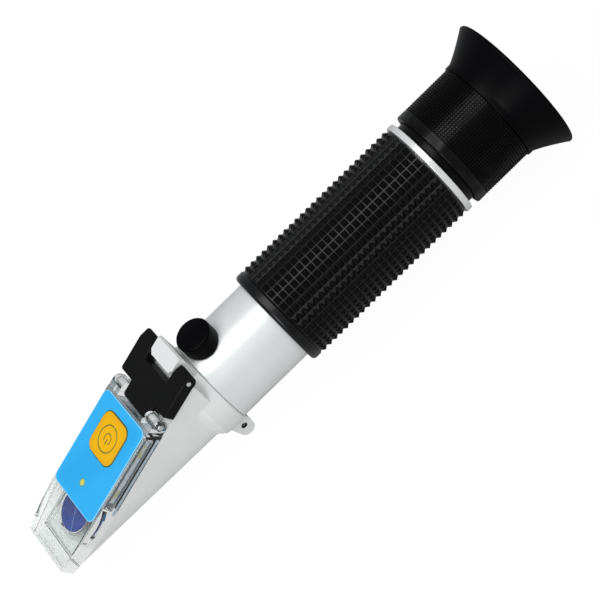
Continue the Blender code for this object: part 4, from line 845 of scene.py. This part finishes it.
bushSize = {"shank": 2.6, "bore": 1.7, "foot": 10.25, "seat": 12.35, "flange": 3.6, "top": 13.75}
makeTurned("screwBush", filleted(section(bushSize, "foot bore, foot shank, seat shank, seat flange, top flange,"
                                                   "top bore"), [0, 0, 0, 0.1, 0.2, 0.2]),
           64, brass, "body", "calibration_bush", x=capSize["x"], axis="Z")
softenedCopy("trimScrew", "calibration_screw", steel, "calibration_screw", 0.08)
print("calibration screw and cap made")


# Casting, prism and seal.

softenedCopy("prismCasting", "prism_housing", castSilver, "body", 0.16)
softenedCopy("measuringWedge", "measuring_prism", opticalGlass, "body", 0)
softenedCopy("wedgeSeal", "prism_gasket", sealRubber, "body", 0)

blendSize = {"flange": 12.3, "trough": 10.66, "front": -8.2, "shoulder": -5.7, "rear": -5.3, "inside": 9.5,
             "lugHalf": 2.25, "lugTop": -7.7, "lugEnd": -17.0, "lugPoint": -16.3, "lugRear": -0.2, "lugFront": -6.5,
             "lean": 0.14, "round": 0.9, "edge": 0.3, "proud": 0.015, "sink": 0.25, "taper": 2.4}
eyeletSize = {"radius": 0.86, "inner": 0.62, "off": 0.22, "thick": 0.3, "half": 2.2, "x": -2.4, "z": -18.2}


def flangeBlend(size):
    # The casting's soft step up to its flange, as a grid of sections round it. Radius runs from the trough's to the
    # flange's as share squared times (3 - 2 share). Over the axis the trough's wall is upright: r = half / sin a.
    share = np.linspace(0, 1, 14)
    rise = share ** 2 * (3 - 2 * share)
    reach = np.pi / 2 + math.acos(size["trough"] / size["flange"])
    turn = np.linspace(-reach, reach, 121)
    base = size["trough"] / np.where(abs(turn) > np.pi / 2, np.sin(abs(turn)), 1)
    top = np.maximum(base, size["flange"]) + size["proud"]
    radius = base + (top - base) * rise[:, None]
    x = size["front"] + (size["shoulder"] - size["front"]) * share
    x = np.concatenate([[size["front"]], x, [size["rear"], size["rear"]]])
    inner = np.full((1, len(turn)), size["inside"])
    radius = np.concatenate([inner, radius, top[None, :], inner])
    points = np.stack([np.repeat(x[:, None], len(turn), 1), radius * np.sin(turn), -radius * np.cos(turn)], -1)
    count = len(turn)
    ends = np.arange(len(x)) * count
    return points.reshape(-1, 3), [gridFaces(len(x), count, True, False), ends[None, :],
                                   (ends[::-1] + count - 1)[None, :]]


def lugBlend(size):
    # The strap lug's root widens in a straight taper until it touches the flange, level by level. Each level is a
    # rectangle with round corners, whose half width follows the tangent from the lug's side to the flange.
    far = math.hypot(size["lugHalf"], size["lugPoint"])
    touch = math.atan2(size["lugHalf"], -size["lugPoint"]) + math.acos(size["flange"] / far)
    start = np.array([size["flange"] * math.sin(touch), -size["flange"] * math.cos(touch)])
    side = filleted([start, (size["lugHalf"], size["lugPoint"]), (size["lugHalf"], size["lugEnd"])],
                    [0, size["taper"], 0], 10, False)
    side = np.concatenate([[[start[0] - size["sink"], size["lugTop"] + 0.1]], side[:-1],
                           [[size["lugHalf"] - 0.06, size["lugEnd"]]]])
    outlines = []
    for half, z in side:
        front = size["lugFront"] + size["lean"] * (size["lugTop"] - z)
        corners = [(size["lugRear"], half), (front, half), (front, -half), (size["lugRear"], -half)]
        outlines.append(filleted(corners, [size["edge"], size["round"], size["round"], size["edge"]], 6))
    return stackShape(outlines, side[:, 1])


blends = several(flangeBlend(blendSize), lugBlend(blendSize))
makePiece("castingBlend", onBarrel(blends), castSilver, "body")
# Each end of the eyelet gets a dark crescent of painted shade between its wall and a smaller circle above its
# middle.
shades = []
for side in (-1, 1):
    hole = circle(eyeletSize["radius"], 48)
    light = circle(eyeletSize["inner"], 48, (0, eyeletSize["off"]))
    points, faces = frameShape(hole, light, 0, eyeletSize["thick"], 0.02, 1)
    across = side * (eyeletSize["half"] - points[:, 2])
    shades.append((np.stack([points[:, 0] + eyeletSize["x"], across, points[:, 1] + eyeletSize["z"]], -1), faces))
makePiece("eyeletShade", onBarrel(several(*shades)), blackPaintAndShade, "body")
print("casting made")


# Hinge link and pins.

softenedCopy("hingeLink", "hinge_link", blackPaintAndShade, "hinge_link", 0.14)

pinSize = {"radius": 0.65, "edge": 0.15, "upperHalf": 11.4, "lowerHalf": 10.8}


def pinShape(halfLength, size):
    # A pin across the slope with slightly domed ends: the profile is turned, then laid along the second direction.
    profile = filleted([(-halfLength, 0), (-halfLength, size["radius"]), (halfLength, size["radius"]),
                        (halfLength, 0)], [0, size["edge"], size["edge"], 0], 4, False, 0.02)
    points, faces = turnedShape(profile, 32, "X", False)
    return points[:, [1, 0, 2]], faces


for name, half, pin, node in (("upperPin", pinSize["upperHalf"], upperPin, "hinge_pin_upper"),
                              ("lowerPin", pinSize["lowerHalf"], lowerPin, "hinge_pin_lower")):
    makePiece(name, onSlope(pinShape(half, pinSize), pin), pinSteel, "hinge_link", [node])
print("hinge made")


# Lid and what it holds.

softenedCopy("clearLid", "lid_body", clearPlastic, "lid", 0.14)

filmSize = {"length": 27.8, "width": 20.6, "corner": 2.0, "low": 2.9, "high": 3.2, "middle": -16.3, "bevel": 0.08}
keySize = {"middle": -11.2, "length": 11.5, "width": 11.4, "corner": 2.7, "low": 2.5, "high": 3.4, "gap": 0.2,
           "bevel": 0.07, "flange": 0.7, "flangeLow": 2.4, "flangeHigh": 2.7, "flangeBevel": 0.05}
discSize = {"radius": 5.6, "middle": -32.49, "low": -2.0, "high": -1.6, "bevel": 0.08}


def keyBox(grow):
    # The key's outline, larger by grow on each side.
    return roundedBox(keySize["length"] + 2 * grow, keySize["width"] + 2 * grow, keySize["corner"] + grow, 8,
                      (keySize["middle"], 0))


film = frameShape(
    roundedBox(filmSize["length"], filmSize["width"], filmSize["corner"], 8, (filmSize["middle"], 0)),
    keyBox(keySize["gap"]), filmSize["low"], filmSize["high"], filmSize["bevel"], 2)
makePiece("lightFilm", onSlope(film), filmFinish("blueFilm"), "lid", ["light_label"])

key = several(
    plateShape(keyBox(0), keySize["low"], keySize["high"], keySize["bevel"]),
    plateShape(keyBox(keySize["flange"]), keySize["flangeLow"], keySize["flangeHigh"], keySize["flangeBevel"], 1))
makePiece("orangeKey", onSlope(key), keyFinish("orangeKey"), "power_button", ["power_button"])

markSize = {"off": -0.14, "ring": 3.5, "ringWidth": 0.42, "arc": 1.35, "arcWidth": 0.36, "opening": 44.0,
            "bar": 1.5, "barFrom": 0.85, "barCorner": 0.14, "low": 3.38, "high": 3.42, "edge": 0.02}


def arcBand(radius, width, first, last, count, low, high, centre):
    # A flat band along an arc of degrees: a small six-sided section carried from one angle to another, with closed
    # ends unless it goes all round.
    turn = np.radians(np.linspace(first, last, count))[None, :]
    across = np.array([-1, -0.8, 0.8, 1, 1, -1])[:, None] * width / 2
    tall = np.array([low, high, high, low, low - 0.02, low - 0.02])[:, None] + 0 * turn
    points = np.stack([centre[0] + (radius + across) * np.cos(turn), centre[1] + (radius + across) * np.sin(turn),
                       tall], -1)
    closed = abs(last - first) > 359.9
    faces = [gridFaces(6, count, True, closed)]
    if not closed:
        rows = np.arange(6) * count
        faces += [rows[None, :], (rows[::-1] + count - 1)[None, :]]
    return points.reshape(-1, 3), faces


keyInk = surface("keyInk", "plastic", linear(112, 112, 40), 0.30, 0.5, 0.5, 0.0005)
centre = (keySize["middle"] + markSize["off"], 0)
opening = markSize["opening"]
heights = (markSize["low"], markSize["high"])
bar = plateShape(roundedBox(markSize["bar"], markSize["arcWidth"], markSize["barCorner"], 3,
                            (centre[0] - markSize["barFrom"], 0), 0.005),
                 markSize["low"] - markSize["edge"], markSize["high"], markSize["edge"], 1)
mark = several(
    arcBand(markSize["ring"], markSize["ringWidth"], 0, 357.5, 144, *heights, centre),
    arcBand(markSize["arc"], markSize["arcWidth"], opening - 180, 180 - opening, 72, *heights, centre), bar)
makePiece("powerMark", onSlope(mark), keyInk, "power_button")

indicatorSize = {"middle": -24.6, "axis": 0, "low": 2.25, "radius": 0.8, "side": 3.22, "high": 3.25, "edge": 0.02,
                 "ring": 0.98, "ringWidth": 0.4, "ringLow": 3.18, "ringHigh": 3.23}
window = turnedShape(filleted(section(indicatorSize, "low axis, low radius, side radius, high axis"),
                              [0, 0, indicatorSize["edge"], 0], 4, False), 48, "Z", False)
amber = surface("amberLens", "plastic", linear(196, 192, 84), 0.30, 0.2, 0.5, 0.0005)
rimInk = surface("rimInk", "plastic", linear(76, 152, 150), 0.30, 0.45, 0.5, 0.0005)
makePiece("indicatorWindow", onSlope(window, along=indicatorSize["middle"]), amber, "lid",
          ["indicator_lens"])
rim = arcBand(indicatorSize["ring"], indicatorSize["ringWidth"], 0, 355, 72, indicatorSize["ringLow"],
              indicatorSize["ringHigh"], (indicatorSize["middle"], 0))
makePiece("indicatorRim", onSlope(rim), rimInk, "lid")

# Pale strips inside the lid's long sides: painted light that brightens the sides of the clear lid, where they would
# show dark.
paleStripSize = {"length": 23.2, "width": 0.25, "corner": 0.1, "middle": -14.8, "y": 10.35, "low": -1.85, "high": -1.15,
             "bevel": 0.03}
paleStrips = [plateShape(roundedBox(paleStripSize["length"], paleStripSize["width"], paleStripSize["corner"], 3,
                                (paleStripSize["middle"], side * paleStripSize["y"]), 0.005),
                     paleStripSize["low"], paleStripSize["high"], paleStripSize["bevel"], 1) for side in (-1, 1)]
paintedLightWhite = surface("paintedLightWhite", "plastic", linear(176, 188, 196), 0.30, 0.5, 0.5, 0.0005)
makePiece("paintedLightStrips", onSlope(several(*paleStrips)), paintedLightWhite, "lid")

disc = plateShape(circle(discSize["radius"], 128, (discSize["middle"], 0)), discSize["low"], discSize["high"],
                  discSize["bevel"])
makePiece("blueDisc", onSlope(disc), filterFinish("blueGlass"), "lid", ["blue_filter"])
print("lid made")


# CAD nodes that stay, each with its finish.

board = boardFinish("paleBoard", (0.40, 0.45, 0.43), (0.07, 0.07, 0.10), (0.8, 1.3))
tray = boardFinish("trayPlastic", (0.50, 0.55, 0.59), (0.14, 0.18, 0.24), (-0.9, -0.5))
lamp = surface("whiteLamp", "plastic", (0.86, 0.83, 0.60), 0.30, 0.3, 0.5, 0.0005)
kept = {"circuit_board": board, "battery_tray": tray, "button_cell_1": steel, "button_cell_2": steel,
        "dome_switch": steel, "white_led_1": lamp, "white_led_2": lamp, "white_led_3": lamp,
        "objective_cell": blackPaintAndShade, "objective_lens": opticalGlass, "bimetal_strip": brass,
        "strip_clamp": brass, "reticle_holder": blackPaintAndShade, "reticle_disc": opticalGlass,
        "field_lens": opticalGlass}
for name, finish in kept.items():
    nodes[name].data.materials.clear()
    nodes[name].data.materials.append(finish)
print("inner pieces finished")


# Table, light and camera.

stageSize = {"table": 3000.0, "grey": 0.44, "paleGrey": 0.46, "own": 0.9, "glow": 1.07, "bounce": 1.0,
             "worldLight": 0.40, "worldTint": (0.93, 0.96, 1.0)}
lampSize = {"target": (0, 0, 20.0),
            "overhead": {"place": (-30.0, -90.0, 580.0), "width": 700.0, "height": 320.0, "power": 2.2,
                         "colour": (1.0, 1.0, 1.0)},
            "front": {"place": (-350.0, -450.0, 400.0), "width": 350.0, "height": 350.0, "power": 1.8,
                      "colour": (0.97, 0.98, 1.0)}}


def makeStage(size):
    # The table keeps the object's shadow. Camera and transmission rays see mostly its own white, and the rest of it
    # lit. Diffuse rays see the white too, so it lights the object. Glossy rays see only the lit grey, so the
    # undersides of black parts stay dark. The world is white to the camera and a dim pale blue as light.
    finish = Finish("tableWhite", {"Roughness": 0.9, "Specular IOR Level": 0.0})
    spread = finish.noise(finish.place(), 400.0, 1.0)
    finish.paint(colour=finish.blend(spread, (size["grey"],) * 3, (size["paleGrey"],) * 3))
    glow = finish.node("ShaderNodeEmission", None, {"Color": (1, 1, 1, 1), "Strength": size["glow"]})
    path = finish.node("ShaderNodeLightPath")
    outputs = path.socket.node.outputs
    bounced = Signal(finish, outputs["Is Diffuse Ray"]) * size["bounce"]
    seen = path.upper(Signal(finish, outputs["Is Transmission Ray"])).upper(bounced)
    finish.replaceWhere(seen * size["own"], glow)
    half = size["table"] * mm / 2
    mesh = bpy.data.meshes.new("table")
    mesh.from_pydata([(-half, -half, 0), (half, -half, 0), (half, half, 0), (-half, half, 0)], [], [(0, 1, 2, 3)])
    mesh.materials.append(finish.material)
    table = bpy.data.objects.new("table", mesh)
    bpy.context.scene.collection.objects.link(table)

    world = bpy.data.worlds.new("studio")
    world.use_nodes = True
    bpy.context.scene.world = world
    sky = Nodes(world.node_tree)
    dim = sky.tree.nodes["Background"]
    dim.inputs["Color"].default_value = (*size["worldTint"], 1)
    dim.inputs["Strength"].default_value = size["worldLight"]
    white = sky.node("ShaderNodeBackground", None, {"Color": (1, 1, 1, 1), "Strength": 1.0})
    path = sky.node("ShaderNodeLightPath")
    seen = path.upper(Signal(sky, path.socket.node.outputs["Is Transmission Ray"]))
    mixed = sky.node("ShaderNodeMixShader", None, {"Fac": seen, 1: Signal(sky, dim.outputs[0]), 2: white})
    sky.feed(sky.tree.nodes["World Output"].inputs["Surface"], mixed)


def softLight(name, size, target):
    # A rectangular lamp that faces the target. Clear plastic doesn't show it as a bright patch.
    lamp = bpy.data.lights.new(name, "AREA")
    lamp.shape = "RECTANGLE"
    lamp.size = size["width"] * mm
    lamp.size_y = size["height"] * mm
    lamp.energy = size["power"]
    lamp.color = size["colour"]
    thing = bpy.data.objects.new(name, lamp)
    bpy.context.scene.collection.objects.link(thing)
    thing.visible_transmission = False
    thing.location = [part * mm for part in size["place"]]
    away = Vector([part * mm for part in size["place"]]) - Vector([part * mm for part in target])
    thing.rotation_euler = away.to_track_quat("Z", "Y").to_euler()


cameraSize = {"turn": 44.28, "roll": 43.0, "x": 6.3, "slide": 1.04, "away": 550.0, "lens": 132.0}


def makeCamera(size):
    # The camera looks square to the barrel, rolled round it by the roll angle. Its picture is turned so that the
    # barrel runs up to the right.
    roll = math.radians(size["roll"])
    turn = math.radians(size["turn"])
    toCamera = Vector((0, -math.sin(roll), math.cos(roll)))
    down = Vector((0, -math.cos(roll), -math.sin(roll)))
    along = Vector((1, 0, 0))
    right = along * math.cos(turn) + down * math.sin(turn)
    up = along * math.sin(turn) - down * math.cos(turn)
    target = Vector((size["x"] * mm, 0, origin[2])) + down * size["slide"] * mm
    place = target + toCamera * size["away"] * mm
    lens = bpy.data.cameras.new("camera")
    lens.lens = size["lens"]
    lens.sensor_width = 36
    lens.clip_start = 0.01
    camera = bpy.data.objects.new("camera", lens)
    bpy.context.scene.collection.objects.link(camera)
    camera.matrix_world = Matrix(((right.x, up.x, toCamera.x, place.x), (right.y, up.y, toCamera.y, place.y),
                                  (right.z, up.z, toCamera.z, place.z), (0, 0, 0, 1)))
    bpy.context.scene.camera = camera


makeStage(stageSize)
softLight("overhead", lampSize["overhead"], lampSize["target"])
softLight("front", lampSize["front"], lampSize["target"])
makeCamera(cameraSize)
bpy.context.scene.view_settings.view_transform = "Standard"

print("stage, light and camera set")
